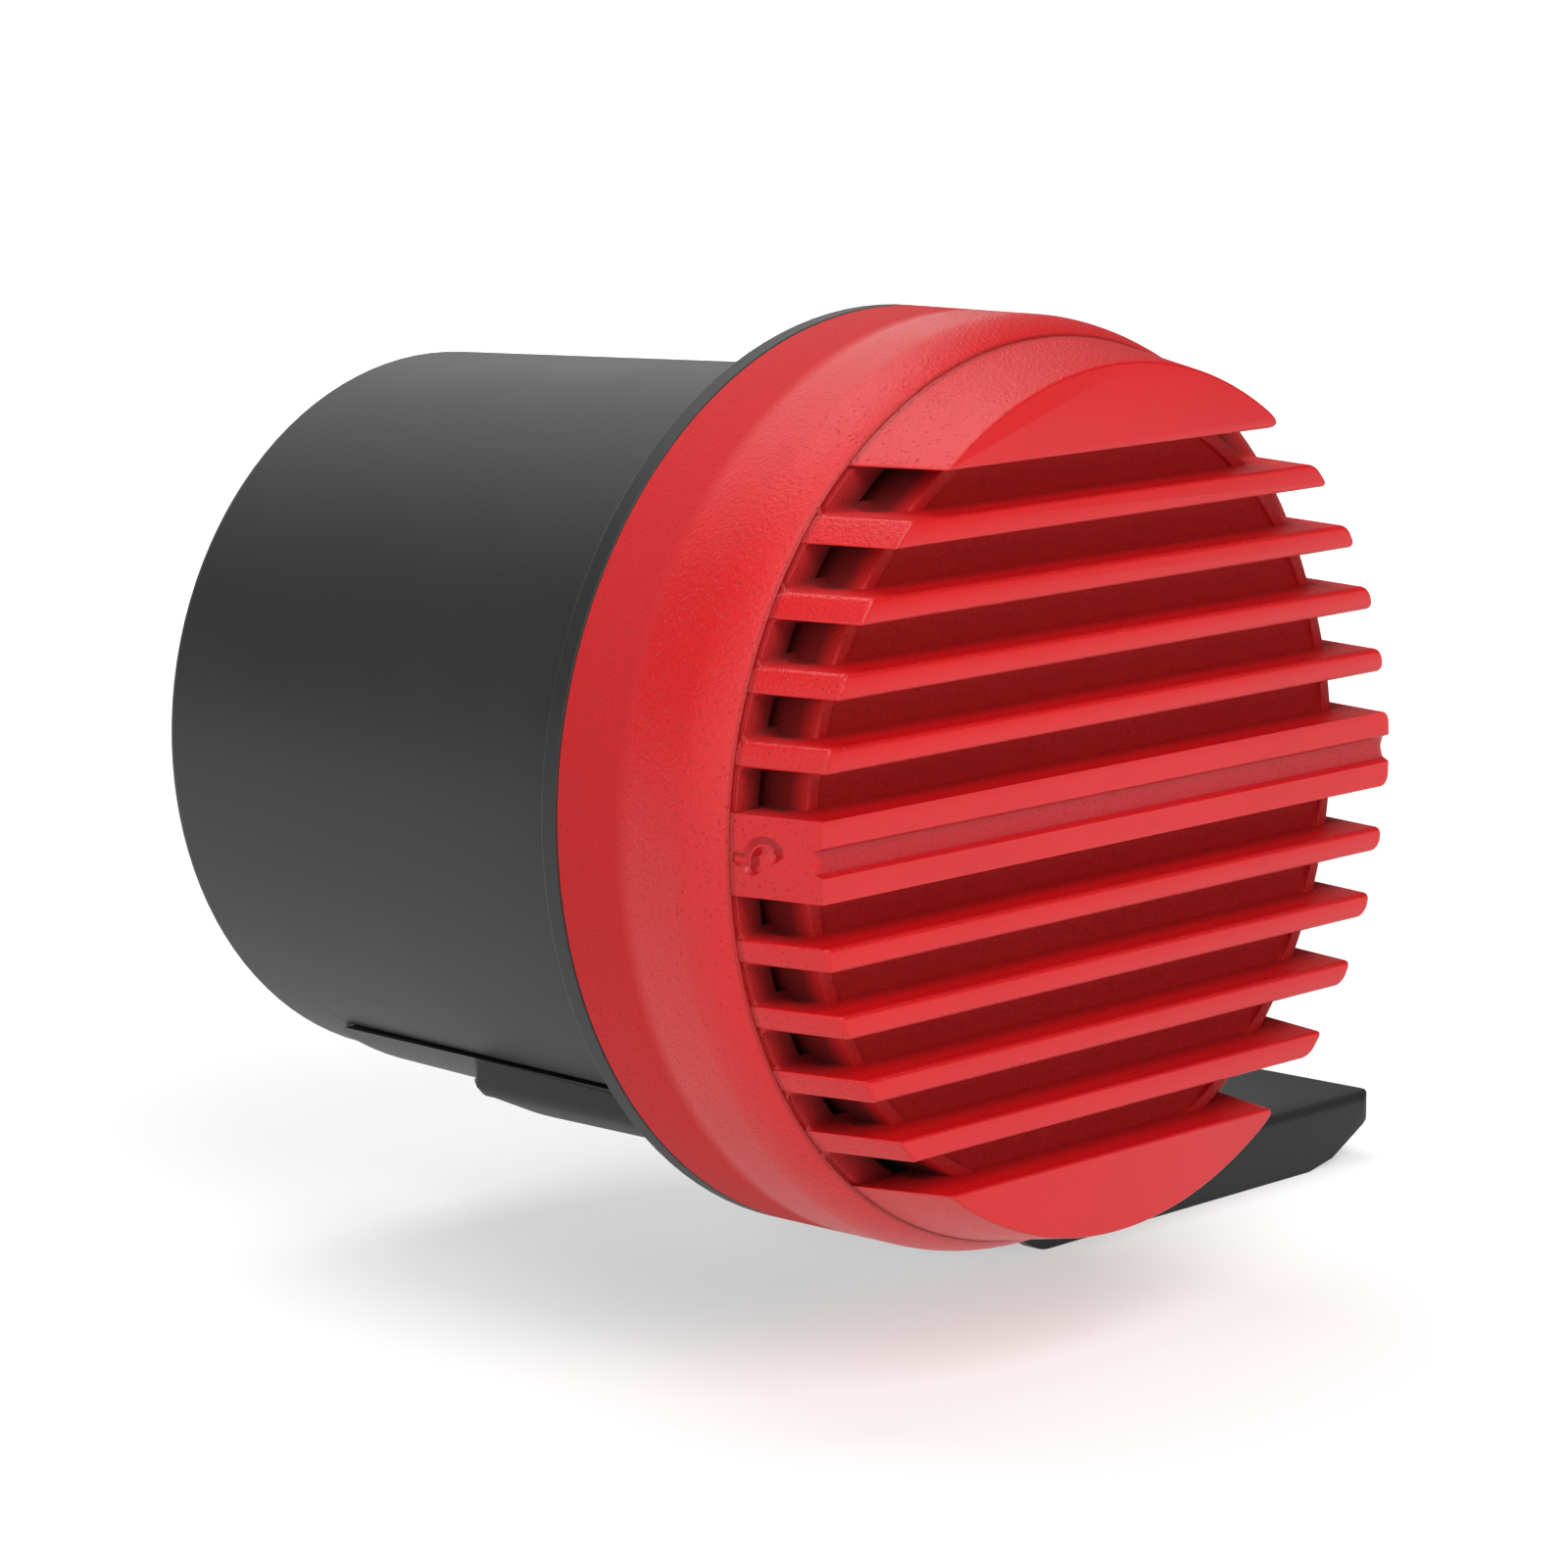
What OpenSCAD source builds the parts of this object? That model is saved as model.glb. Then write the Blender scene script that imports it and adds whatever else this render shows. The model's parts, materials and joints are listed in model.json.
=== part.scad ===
/* [Grille cap] */
// Radius of the flat front face of the grille
front_r = 35; // [33:0.1:37]
// Radius at the crease where the bars meet the shoulder
crease_r = 36.5; // [35.8:0.1:37.2]
// Depth of the crease behind the front face
crease_y = 7.85; // [7:0.05:9]
// Outer radius of the shoulder at the rim
rim_r = 38.1; // [37.6:0.1:40]
// Depth of the cap from its front face to its rim
cap_depth = 25.25; // [23:0.25:28]
// Rounding of the shoulder behind the crease
shoulder_round = 9; // [7:0.5:12]
// Wall of the cap at its rim
cap_wall = 2.5; // [2:0.1:2.8]
// Rounding of the front edges of face and bars
edge_round = 0.35; // [0.1:0.05:0.5]

/* [Bars and slots] */
// Height of one narrow bar
bar_h = 2; // [1.8:0.1:2.2]
// Height of one slot
slot_h = 3.42; // [3.1:0.02:3.6]
// Height of the wide bar in the middle
wide_bar_h = 6.35; // [5:0.05:7]
// Narrow bars above the middle, and as many below it
bars_each_side = 4; // [2:1:4]
// Width of the groove along the wide bar
groove_w = 2.3; // [1.6:0.1:3]
// Depth of the groove along the wide bar
groove_depth = 0.4; // [0.2:0.05:0.6]

/* [Baffle and ledge] */
// Depth of the baffle disc behind the front face
baffle_y = 4.4; // [4:0.1:5]
// Thickness of the baffle disc
baffle_t = 2.2; // [1.6:0.1:2.6]
// Outer radius of the baffle and its ring
baffle_r = 32.4; // [31.5:0.1:32.8]
// Wall of the ring round the baffle
ring_wall = 1.2; // [1:0.1:1.6]
// Height that the ring stands proud of the baffle
ring_proud = 0.4; // [0.2:0.1:0.8]
// Width of the open sound gap round the baffle
sound_gap = 1.2; // [0.8:0.1:1.4]
// Thickness of the ledge inside the cap
ledge_t = 2; // [1.6:0.1:2.6]

/* [Housing] */
// Length from the front face of the grille to the rear face
body_len = 79.8; // [76:0.2:90]
// Radius of the body just behind the lip
body_front_r = 32.9; // [32.7:0.1:33.4]
// Radius of the body at its rear face
body_rear_r = 31.2; // [30.6:0.1:32]
// Wall of the housing
wall = 2.5; // [2:0.1:2.8]
// Thickness of the lip behind the cap
lip_t = 1.9; // [1.5:0.1:2.5]
// Rounding of the rear edge
rear_round = 1; // [0.5:0.1:2]
// Clearance of the neck inside the cap
neck_clear = 0.25; // [0.15:0.05:0.3]
// Wall of the neck inside the cap
neck_wall = 3.7; // [3.2:0.1:3.9]
// Thickness of the seal between neck and cap
seal_d = 1.7; // [1.4:0.1:2]

/* [Saddle pad] */
// Height of the side edge of the pad below the axis
pad_edge_z = 25.5; // [24:0.5:27]
// Rear end of the pad, from the front face
pad_end = 73; // [70:0.5:74]
// Height of the pad over the body at its front end
pad_front_rise = 0.25; // [0.2:0.05:0.6]
// Height of the pad over the body at its rear end
pad_rear_rise = 0.5; // [0.4:0.05:0.8]
// Rounding of the rear corners of the pad
pad_round = 2; // [1:0.5:4]
// Width and depth of the thin groove round the pad
pad_groove = 0.35; // [0.25:0.05:0.5]

/* [Mounting bracket] */
// Height of the axis over the surface under the foot
foot_drop = 46; // [45:0.5:48]
// Reach of the ear from the axis
ear_reach = 70; // [66:0.5:74]
// Thickness of the ear
ear_t = 6.1; // [5.5:0.1:7]
// Depth of the ear along the axis
ear_depth = 24.35; // [22:0.5:27]
// Distance that the saddle reaches behind the ear
saddle_past = 3; // [1:0.5:4]
// Gap between the lip and the bracket
bracket_gap = 0.5; // [0.3:0.1:1]
// Reach of the saddle on the near side of the axis
saddle_near = 20; // [19:0.1:22]
// Reach of the saddle on the ear's side of the axis
saddle_far = 22.7; // [22:0.1:24]
// Thickness of the saddle plate under the pad
saddle_t = 1.25; // [1.1:0.05:1.8]
// Distance of the bolt hole from the axis
hole_x = 47.5; // [44:0.5:50]
// Radius of the bolt hole
hole_r = 4.25; // [3.2:0.05:4.4]
// Wall of the steel bush in the bolt hole
bush_wall = 1.5; // [1:0.1:2]
// Distance of the two bracket screws from the axis
fix_x = 12; // [11:0.5:13]
// Spacing of the two bracket screws
fix_pitch = 12; // [11:0.5:13]
// Radius of a bracket screw
fix_r = 2; // [1.5:0.1:2.2]

/* [Loudspeaker] */
// Thickness of the dust screen
screen_t = 0.35; // [0.2:0.05:0.5]
// Thickness of the foam gasket
gasket_t = 1.5; // [1:0.1:2]
// Thickness of the flange of the speaker frame
flange_t = 1.5; // [1.2:0.1:2]
// Depth of the speaker frame behind its flange
basket_depth = 11; // [10:0.5:12]
// Radius of the ferrite magnet
magnet_r = 19; // [17.5:0.1:20]
// Thickness of the ferrite magnet
magnet_t = 7; // [6:0.5:9]
// Thickness of each steel plate of the magnet
plate_t = 3; // [2.5:0.1:3.5]
// Radius of the steel pole
pole_r = 5.9; // [5.5:0.1:6]
// Radius of the middle of the voice coil's tube
coil_r = 6.5; // [6.4:0.05:6.6]
// Thickness of the voice coil's tube
coil_t = 0.4; // [0.3:0.05:0.5]
// Outer radius of the cone
cone_r = 25.6; // [25:0.1:26]
// Thickness of the cone
cone_t = 0.4; // [0.3:0.05:0.5]

/* [Circuit board] */
// Radius of the circuit board
board_r = 27; // [26:0.1:27.5]
// Thickness of the circuit board
board_t = 1.6; // [1.2:0.1:2]
// Gap between the loudspeaker's motor and the tallest part on the board
board_gap = 6.7; // [3:0.1:7]
// Radius of the bosses that carry the board
boss_r = 3.2; // [2.8:0.1:3.5]
// Distance of the bosses from the axis
boss_pitch = 22.5; // [22:0.1:23]
// Radius of a board screw
board_screw_r = 1.1; // [1:0.05:1.4]
// Radius of the large capacitor
cap_r = 5; // [4:0.1:5.2]
// Height of the large capacitor
cap_h = 14; // [12:0.5:16]
// Height of the power transistor over the board
transistor_h = 16.5; // [15:0.5:17]

/* [Terminals] */
// Distance of each stud from the axis
stud_x = 17.5; // [17:0.1:18]
// Height of the studs below the axis
stud_drop = 5.4; // [4.5:0.1:6]
// Radius of a terminal stud
stud_r = 2.5; // [2:0.1:2.5]
// Length of a stud outside the rear face
stud_out = 13.2; // [12.5:0.1:15]
// Width across the flats of the nuts
nut_af = 8; // [7.6:0.1:8.4]
// Thickness of each nut
nut_t = 3.2; // [2.7:0.1:3.4]
// Thickness of the flat washers
washer_t = 1; // [0.8:0.1:1.2]
// Thickness of the lock washers
lock_t = 1.1; // [0.8:0.1:1.3]
// Thickness of the rubber seal under a stud's head
stud_seal_t = 1; // [0.8:0.1:1.2]
// Thickness of a stud's head
stud_head_t = 2; // [1.6:0.1:2.5]

/* [Hidden] */
red_plastic = "#d02d30";
black_plastic = "#2b2b2c";
zinc = "#b9bcbe";
steel = "#8f9296";
ferrite = "#4a4a4d";
rubber = "#1c1c1d";
copper = "#b87333";
board_green = "#1f5c3a";
over = 1;
smooth = 96;
fine = 48;

// Places along the axis, counted from the front face towards the rear
ledge_back = crease_y + ledge_t;
screen_back = ledge_back + screen_t;
gasket_back = screen_back + gasket_t;
neck_front = gasket_back + flange_t;
body_front = cap_depth + lip_t;
rear_inside = body_len - wall;
basket_back = neck_front + basket_depth;
top_plate_back = basket_back + plate_t;
magnet_back = top_plate_back + magnet_t;
motor_back = magnet_back + plate_t;
board_front = motor_back + board_gap + transistor_h;
board_back = board_front + board_t;
bracket_front = body_front + bracket_gap;
ear_back = bracket_front + ear_depth;
bracket_back = ear_back + saddle_past;
hole_y = bracket_front + ear_depth / 2;

// Radii that follow from the driving sizes
cap_in_r = rim_r - cap_wall;
neck_r = cap_in_r - neck_clear;
neck_in_r = neck_r - neck_wall;
ledge_r = baffle_r + sound_gap;
ring_in_r = baffle_r - ring_wall;
ring_front = baffle_y - ring_proud;
inside_front_r = body_front_r - wall;
inside_rear_r = body_rear_r - wall;
pad_front_r = body_front_r + pad_front_rise;
pad_rear_r = body_rear_r + pad_rear_rise;
stack_clear = 0.3;
stack_r = cap_in_r - stack_clear;
saddle_r = pad_r(hole_y) + saddle_t;

// Snap bead that holds the cap on the neck, and the groove for the seal
bead_y = cap_depth - 3.6;
bead_half = 0.8;
bead_h = 0.6;
bead_top = 0.3;
bead_gap = 0.1;
seal_y = (neck_front + bead_y) / 2;
seal_half = 1.1;

function arc(cx, cy, r, from, to, steps) = [
    for (i = [0 : steps])
        let (a = from + (to - from) * i / steps) [cx + r * cos(a), cy + r * sin(a)]
];

// Origin at the foot of the bolt hole, from a frame with the sound axis along Y
module placed() {
    translate([-hole_x, -hole_y, foot_drop]) children();
}

// A profile of radius and depth, turned about the sound axis
module turned() {
    rotate([-90, 0, 0]) rotate_extrude($fn = smooth) children();
}

// A round bar or ring along the sound axis, from one depth to another
module rod(r, from, to, x = 0, z = 0, bore = 0) {
    translate([x, from, z]) rotate([-90, 0, 0]) difference() {
        cylinder(r = r, h = to - from, $fn = fine);
        if (bore > 0) translate([0, 0, -over]) cylinder(r = bore, h = to - from + 2 * over, $fn = fine);
    }
}

// A ring about the sound axis
module ring(r, bore, from, to) {
    turned() polygon([[bore, from], [r, from], [r, to], [bore, to]]);
}

// A shape drawn in depth and height, extruded across from one side to the other
module across(from, to) {
    translate([from, 0, 0]) rotate([90, 0, 90]) linear_extrude(to - from) children();
}

// A shape drawn across and in height, extruded along the sound axis
module along(from, to) {
    translate([0, to, 0]) rotate([90, 0, 0]) linear_extrude(to - from) children();
}

// Snap bead round the neck, or the groove for it when it is cut from the cap
module bead(from_r, to_r, foot_half, top_half) {
    turned() polygon([
        [from_r - over, bead_y - foot_half], [from_r, bead_y - foot_half], [to_r, bead_y - top_half],
        [to_r, bead_y + top_half], [from_r, bead_y + foot_half], [from_r - over, bead_y + foot_half]
    ]);
}

// Grille cap: shoulder, front bars, baffle and its ring are one moulding
shoulder_y = crease_y + sqrt(pow(shoulder_round, 2) - pow(shoulder_round - rim_r + crease_r, 2));
shoulder_a = acos((shoulder_round - rim_r + crease_r) / shoulder_round);
slot_pitch = bar_h + slot_h;
slot_first = (wide_bar_h + slot_h) / 2;
groove_arc_r = (pow(groove_w / 2, 2) + pow(groove_depth, 2)) / (2 * groove_depth);
dimple_r = 2.4;
dimple_sink = 0.45;

module cap_blank() {
    turned() polygon(concat(
        [[0, 0]],
        arc(front_r - edge_round, edge_round, edge_round, -90, -10, 4),
        arc(rim_r - shoulder_round, shoulder_y, shoulder_round, -shoulder_a, 0, 10),
        [[rim_r, cap_depth], [cap_in_r, cap_depth], [cap_in_r, ledge_back], [ledge_r, ledge_back],
            [ledge_r, crease_y], [baffle_r, crease_y], [baffle_r, ledge_back],
            [ring_in_r, ledge_back], [ring_in_r, baffle_y + baffle_t], [0, baffle_y + baffle_t]]
    ));
}

// One slot, with its mouth flared so that the bars beside it have round front edges
module slot_cutter() {
    rotate([0, 90, 0]) linear_extrude(4 * rim_r, center = true) polygon(concat(
        [[-slot_h / 2, crease_y], [slot_h / 2, crease_y]],
        arc(slot_h / 2 + edge_round, edge_round, edge_round, 180, 270, 4),
        [[slot_h / 2 + edge_round, -over], [-slot_h / 2 - edge_round, -over]],
        arc(-slot_h / 2 - edge_round, edge_round, edge_round, 270, 360, 4)
    ));
}

module grille_cap() {
    color(red_plastic) placed() difference() {
        cap_blank();
        difference() {
            for (side = [-1, 1], k = [0 : bars_each_side])
                translate([0, 0, side * (slot_first + k * slot_pitch)]) slot_cutter();
            turned() polygon([[0, baffle_y], [ring_in_r, baffle_y], [ring_in_r, ring_front],
                [baffle_r, ring_front], [baffle_r, ledge_back], [0, ledge_back]]);
        }
        translate([0, groove_depth - groove_arc_r, 0]) rotate([0, 90, 0])
            cylinder(r = groove_arc_r, h = 4 * front_r, center = true, $fn = fine);
        translate([-(front_r + crease_r) / 2 - dimple_r + dimple_sink, crease_y / 2, 0])
            sphere(r = dimple_r, $fn = fine);
        bead(cap_in_r, cap_in_r + bead_h, bead_half + bead_gap, bead_top);
    }
}

// Loudspeaker, clamped with its screen and gasket between the ledge and the neck
basket_wall = 1.2;
basket_in_r = 9;
window_w = 9;
window_in = 2.2;
seat_r = magnet_r - 1;
seat_in_r = seat_r - 1.8;
seat_step = 0.2;
spider_t = 0.4;
spider_wave = 0.5;
spider_drop = 0.7;
spider_y = basket_back - basket_wall - spider_drop;
cone_slope = 0.5;
cone_foot = coil_r + coil_t / 2;
cone_lip = 0.6;
cone_clear = 0.05;
lip_in_r = cone_r - cone_lip;
rim_w = 1.9;
roll_w = 3.8;
lip_w = 0.4;
rim_in_r = cone_r + roll_w;
rim_out_r = rim_in_r + rim_w;
roll_r = (rim_in_r - cone_r) / 2;
roll_mid = (rim_in_r + cone_r) / 2;
gasket_in_r = rim_out_r + 0.2;
frame_in_r = rim_in_r + 0.4;
cone_front = gasket_back;
dust_r = 9;
dust_rise = 3;
dust_t = 0.35;
coil_out = 1.4;
coil_in = 2.6;
plate_in = 0.5;
coil_gap = 0.6;
magnet_gap = 3.5;

function cone_at(r) = cone_front + (cone_r - r) * cone_slope;

module dust_screen() {
    color("#39393b") placed() rod(stack_r, ledge_back, screen_back);
}

module driver_gasket() {
    color(rubber) placed() ring(stack_r, gasket_in_r, screen_back, gasket_back);
}

module driver_frame() {
    color(black_plastic) placed() difference() {
        turned() polygon([
            [frame_in_r, gasket_back], [stack_r, gasket_back], [stack_r, neck_front],
            [neck_in_r - 2 * stack_clear, neck_front], [magnet_r, basket_back], [basket_in_r, basket_back],
            [basket_in_r, basket_back - basket_wall], [seat_in_r, basket_back - basket_wall],
            [seat_in_r, spider_y + spider_t], [seat_r - seat_step, spider_y + spider_t],
            [frame_in_r, neck_front]
        ]);
        for (a = [0 : 60 : 300]) rotate([0, a, 0])
            translate([seat_r + window_in, neck_front + flange_t, -window_w / 2])
                cube([frame_in_r - seat_r - 2 * window_in, basket_depth - 2 * window_in, window_w]);
    }
}

module surround() {
    color(rubber) placed() turned() polygon(concat(
        [[rim_out_r, cone_front], [rim_out_r, cone_front - lip_w], [rim_in_r - lip_w, cone_front - lip_w]],
        arc(roll_mid, cone_front - lip_w, roll_r - lip_w, 0, 180, 12),
        [[lip_in_r, cone_front - lip_w], [lip_in_r, cone_front], [cone_r, cone_front]],
        arc(roll_mid, cone_front - lip_w, roll_r, 168, 12, 12),
        [[rim_in_r, cone_front]]
    ));
}

module cone_diaphragm() {
    color("#3a3a3e") placed() turned() polygon([
        [lip_in_r, cone_front], [cone_r - cone_clear, cone_front], [cone_r - cone_clear, cone_front + cone_t],
        [cone_foot, cone_at(cone_foot) + cone_t], [cone_foot, cone_at(cone_foot)],
        [lip_in_r, cone_at(lip_in_r)]
    ]);
}

module dust_cap() {
    dome_r = (pow(dust_r, 2) + pow(dust_rise, 2)) / (2 * dust_rise);
    dome_a = asin(dust_r / dome_r);
    dome_y = cone_at(dust_r) - dust_rise + dome_r;
    color("#2f2f33") placed() turned() polygon(concat(
        arc(0, dome_y, dome_r, -90, -90 + dome_a, 10),
        [[dust_r - dust_t, cone_at(dust_r - dust_t)]],
        arc(0, dome_y, dome_r - dust_t, -90 + dome_a - 2.4, -90, 10)
    ));
}

module spider() {
    waves = 4;
    step = (seat_r - seat_step - cone_foot) / (2 * waves + 1);
    color("#c9a86a") placed() turned() polygon(concat(
        [for (i = [0 : 2 * waves + 1]) [cone_foot + i * step, spider_y - (i % 2 == 0 ? 0 : spider_wave)]],
        [for (i = [2 * waves + 1 : -1 : 0])
            [cone_foot + i * step, spider_y + spider_t - (i % 2 == 0 || i > 2 * waves ? 0 : spider_wave)]]
    ));
}

module voice_coil() {
    color(copper) placed() ring(coil_r + coil_t / 2, coil_r - coil_t / 2, cone_at(cone_foot) - coil_out,
        top_plate_back + coil_in);
}

module top_plate() {
    color(steel) placed() ring(magnet_r - plate_in, cone_foot + coil_gap, basket_back, top_plate_back);
}

module magnet() {
    color(ferrite) placed() ring(magnet_r, coil_r + magnet_gap, top_plate_back, magnet_back);
}

module back_plate() {
    color(steel) placed() turned() polygon([
        [0, basket_back], [pole_r, basket_back], [pole_r, magnet_back],
        [magnet_r - plate_in, magnet_back], [magnet_r - plate_in, motor_back], [0, motor_back]
    ]);
}

// Small strip on the motor, with the two wires that run back to the board
lead_x = 3.5;
lead_z = 10;
lead_r = 0.7;
strip_w = 14;
strip_h = 6;
strip_t = 1.2;

module terminal_strip() {
    color("#7a5230") placed() translate([-strip_w / 2, motor_back, lead_z - strip_h / 2])
        cube([strip_w, strip_t, strip_h]);
}

module driver_leads() {
    color(copper) placed() for (side = [-1, 1])
        rod(lead_r, motor_back + strip_t, board_front, side * lead_x, lead_z);
}

// Housing: cup with a neck, a lip, a closed rear wall and the saddle pad under it
lip_edge = 0.3;
boss_angles = [90, 225, 315];
boss_hole_len = (rear_inside - board_back) / 2;
pad_fit = 0.5;
fix_shift = 1;
fix_y = hole_y - fix_pitch / 2 - fix_shift;
fix_wall = 2;
fix_boss_h = 9.4;
fix_top_z = fix_boss_h - inside_front_r;
fix_tip_z = fix_top_z - fix_wall;

function body_r(y) = body_front_r + (body_rear_r - body_front_r) * (y - body_front) / (body_len - body_front);

module body_outer() {
    turned() polygon(concat(
        [[0, neck_front], [neck_r - 0.5, neck_front], [neck_r, neck_front + 0.5], [neck_r, cap_depth],
            [rim_r, cap_depth], [rim_r, body_front - lip_edge], [rim_r - lip_edge, body_front],
            [body_front_r, body_front]],
        arc(body_rear_r - rear_round, body_len - rear_round, rear_round, 0, 90, 6),
        [[0, body_len]]
    ));
}

module body_inner() {
    turned() polygon([
        [0, neck_front - over], [neck_in_r, neck_front - over], [neck_in_r, cap_depth - 1],
        [inside_front_r, body_front], [inside_rear_r, rear_inside], [0, rear_inside]
    ]);
}

// Outline of the pad seen from the side, grown by a margin
module pad_side(grow = 0) {
    across(-rim_r, rim_r) polygon(concat(
        [[body_front - over, -rim_r - over], [pad_end + grow, -rim_r - over]],
        arc(pad_end - pad_round, -pad_edge_z - pad_round, pad_round + grow, 0, 90, 8),
        [[body_front - over, -pad_edge_z + grow]]
    ));
}

// Cone that the pad's face lies on, filled in to the axis
module pad_cone(from, to) {
    turned() polygon([[0, from], [pad_r(from), from], [pad_r(to), to], [0, to]]);
}

function pad_r(y) = pad_front_r + (pad_rear_r - pad_front_r) * (y - body_front) / (body_len - body_front);

module boss_places() {
    for (a = boss_angles) translate([boss_pitch * cos(a), 0, boss_pitch * sin(a)]) children();
}

module stud_places() {
    for (side = [-1, 1]) translate([side * stud_x, 0, -stud_drop]) children();
}

module housing() {
    color(black_plastic) placed() difference() {
        union() {
            difference() {
                union() {
                    body_outer();
                    bead(neck_r, cap_in_r + bead_h - 2 * bead_gap, bead_half, bead_top - bead_gap);
                    intersection() {
                        pad_cone(body_front - pad_fit, pad_end + over);
                        pad_side();
                    }
                }
                body_inner();
            }
            boss_places() rod(boss_r, board_back, rear_inside + over);
            intersection() {
                body_outer();
                for (k = [0, 1]) translate([fix_x, fix_y + k * fix_pitch, -rim_r])
                    cylinder(r = fix_r + fix_wall, h = rim_r + fix_top_z, $fn = fine);
            }
        }
        difference() {
            pad_side(pad_groove);
            pad_side();
            turned() polygon([[0, body_front - 2 * over], [rim_r * 2, body_front - 2 * over],
                [rim_r * 2, body_front], [body_front_r - pad_groove, body_front],
                [body_rear_r - pad_groove, body_len], [0, body_len]]);
        }
        ring(neck_r + over, cap_in_r - seal_d, seal_y - seal_half, seal_y + seal_half);
        boss_places() rod(board_screw_r, board_back - over, board_back + boss_hole_len);
        for (k = [0, 1]) translate([fix_x, fix_y + k * fix_pitch, -rim_r])
            cylinder(r = fix_r, h = rim_r + fix_tip_z, $fn = fine);
        stud_places() rod(stud_r, rear_inside - over, body_len + over);
    }
}

module cap_seal() {
    color(rubber) placed() turned() translate([cap_in_r - seal_d / 2, seal_y])
        circle(r = seal_d / 2, $fn = fine);
}

// Circuit board on its bosses, with its parts on the front
screw_clear = 0.2;
small_cap_r = cap_r - 1;
small_cap_h = cap_h - 3;
cap_places = [[0.48, 0.26, cap_r, cap_h], [-0.48, 0.33, small_cap_r, small_cap_h],
    [-0.56, -0.11, small_cap_r, small_cap_h]];
choke_place = -0.45;
choke_r = 6;
choke_core_r = 4.4;
choke_h = 9;
choke_flange = 1.4;
transistor_place = [0.37, -0.3];
transistor_w = 10;
transistor_body = 9;
transistor_t = 4.5;
tab_t = 1.3;
tab_in = 1.9;
leg_pitch = 2.54;
leg_w = 0.8;
leg_t = 0.6;
leg_len = 4.5;
chip_w = 9.4;
chip_h = 3.1;
chip_t = 6.4;
chip_z = -2;
chip_leg = 0.9;
chip_gap = 0.5;
resistor_r = 1.2;
resistor_w = 6.5;
resistor_pitch = 2.7;
resistor_z = 12.6;

module circuit_board() {
    color(board_green) placed() difference() {
        rod(board_r, board_front, board_back);
        boss_places() rod(board_screw_r + screw_clear, board_front - over, board_back + over);
    }
}

module board_screws() {
    board_head_r = board_screw_r + 1.2;
    board_head_t = 1.6;
    color(zinc) placed() boss_places() {
        rod(board_head_r, board_front - board_head_t, board_front);
        rod(board_screw_r, board_front - board_head_t / 2, board_back + boss_hole_len - tip_gap);
    }
}

module capacitors() {
    color("#20242f") placed() for (c = cap_places)
        rod(c[2], board_front - c[3], board_front, c[0] * board_r, c[1] * board_r);
}

module choke_coil() {
    top = board_front - choke_h;
    color(copper) placed() translate([0, 0, choke_place * board_r]) turned() polygon([
        [0, top], [choke_r, top], [choke_r, top + choke_flange], [choke_core_r, top + choke_flange],
        [choke_core_r, board_front - choke_flange], [choke_r, board_front - choke_flange],
        [choke_r, board_front], [0, board_front]
    ]);
}

module power_transistor() {
    tab_h = transistor_h - leg_len - transistor_body + 2;
    color("#262628") placed()
        translate([transistor_place[0] * board_r, board_front, transistor_place[1] * board_r]) {
            translate([0, -leg_len - transistor_body + 0.5, 0])
                cube([transistor_w, transistor_body, transistor_t]);
            translate([0, -transistor_h, transistor_t - tab_t]) difference() {
                cube([transistor_w, tab_h, tab_t]);
                translate([transistor_w / 2, tab_in, -over])
                    cylinder(r = tab_t, h = tab_t + 2 * over, $fn = fine);
            }
            for (k = [-1, 0, 1])
                translate([(transistor_w - leg_w) / 2 + leg_pitch * k, -leg_len, (transistor_t - leg_t) / 2])
                    cube([leg_w, leg_len, leg_t]);
        }
}

module controller_chip() {
    leg_h = chip_h / 2 + chip_gap;
    color("#1b1b1d") placed() translate([-chip_w / 2, board_front - chip_h - chip_gap, chip_z]) {
        translate([0, 0, chip_leg - 0.1]) cube([chip_w, chip_h, chip_t]);
        for (k = [0 : 3], side = [0, 1])
            translate([leg_t + leg_pitch * k, chip_h / 2, side * (chip_leg + chip_t - 0.2)])
                cube([leg_t, leg_h, chip_leg]);
    }
}

module resistors() {
    color("#c8b48a") placed() for (k = [0 : 2])
        translate([0, board_front - resistor_r, resistor_z + resistor_pitch * k]) rotate([0, 90, 0])
            cylinder(r = resistor_r, h = resistor_w, center = true, $fn = fine);
}

// Terminal studs through the rear wall, with their seals, wires, washers and nuts
head_front = rear_inside - stud_seal_t - stud_head_t;
clamp_y = body_len + washer_t;
lock_y = clamp_y + nut_t;
cable_y = lock_y + lock_t;
stud_head_r = stud_r + 2;
stud_end = body_len + stud_out;
end_gap = 0.3;
end_y = cable_y + nut_t + end_gap;
end_step = 0.3;
end_r = stud_r - end_step;
end_chamfer = 0.5;
hole_clear = 0.15;

module stud() {
    rotate([-90, 0, 0]) rotate_extrude($fn = fine) polygon([
        [0, head_front], [stud_head_r, head_front], [stud_head_r, rear_inside - stud_seal_t],
        [stud_r, rear_inside - stud_seal_t], [stud_r, end_y], [end_r, end_y],
        [end_r, stud_end - end_chamfer], [end_r - end_chamfer, stud_end], [0, stud_end]
    ]);
}

module hex_nut(from) {
    translate([0, from, 0]) rotate([-90, 0, 0]) difference() {
        cylinder(r = nut_af / 2 / cos(30), h = nut_t, $fn = 6);
        translate([0, 0, -over]) cylinder(r = stud_r, h = nut_t + 2 * over, $fn = fine);
    }
}

module positive_stud() {
    color(zinc) placed() translate([stud_x, 0, -stud_drop]) stud();
}

module negative_stud() {
    color(zinc) placed() translate([-stud_x, 0, -stud_drop]) stud();
}

module stud_seals() {
    color(rubber) placed() stud_places()
        rod(stud_head_r, rear_inside - stud_seal_t, rear_inside, bore = stud_r);
}

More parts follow.
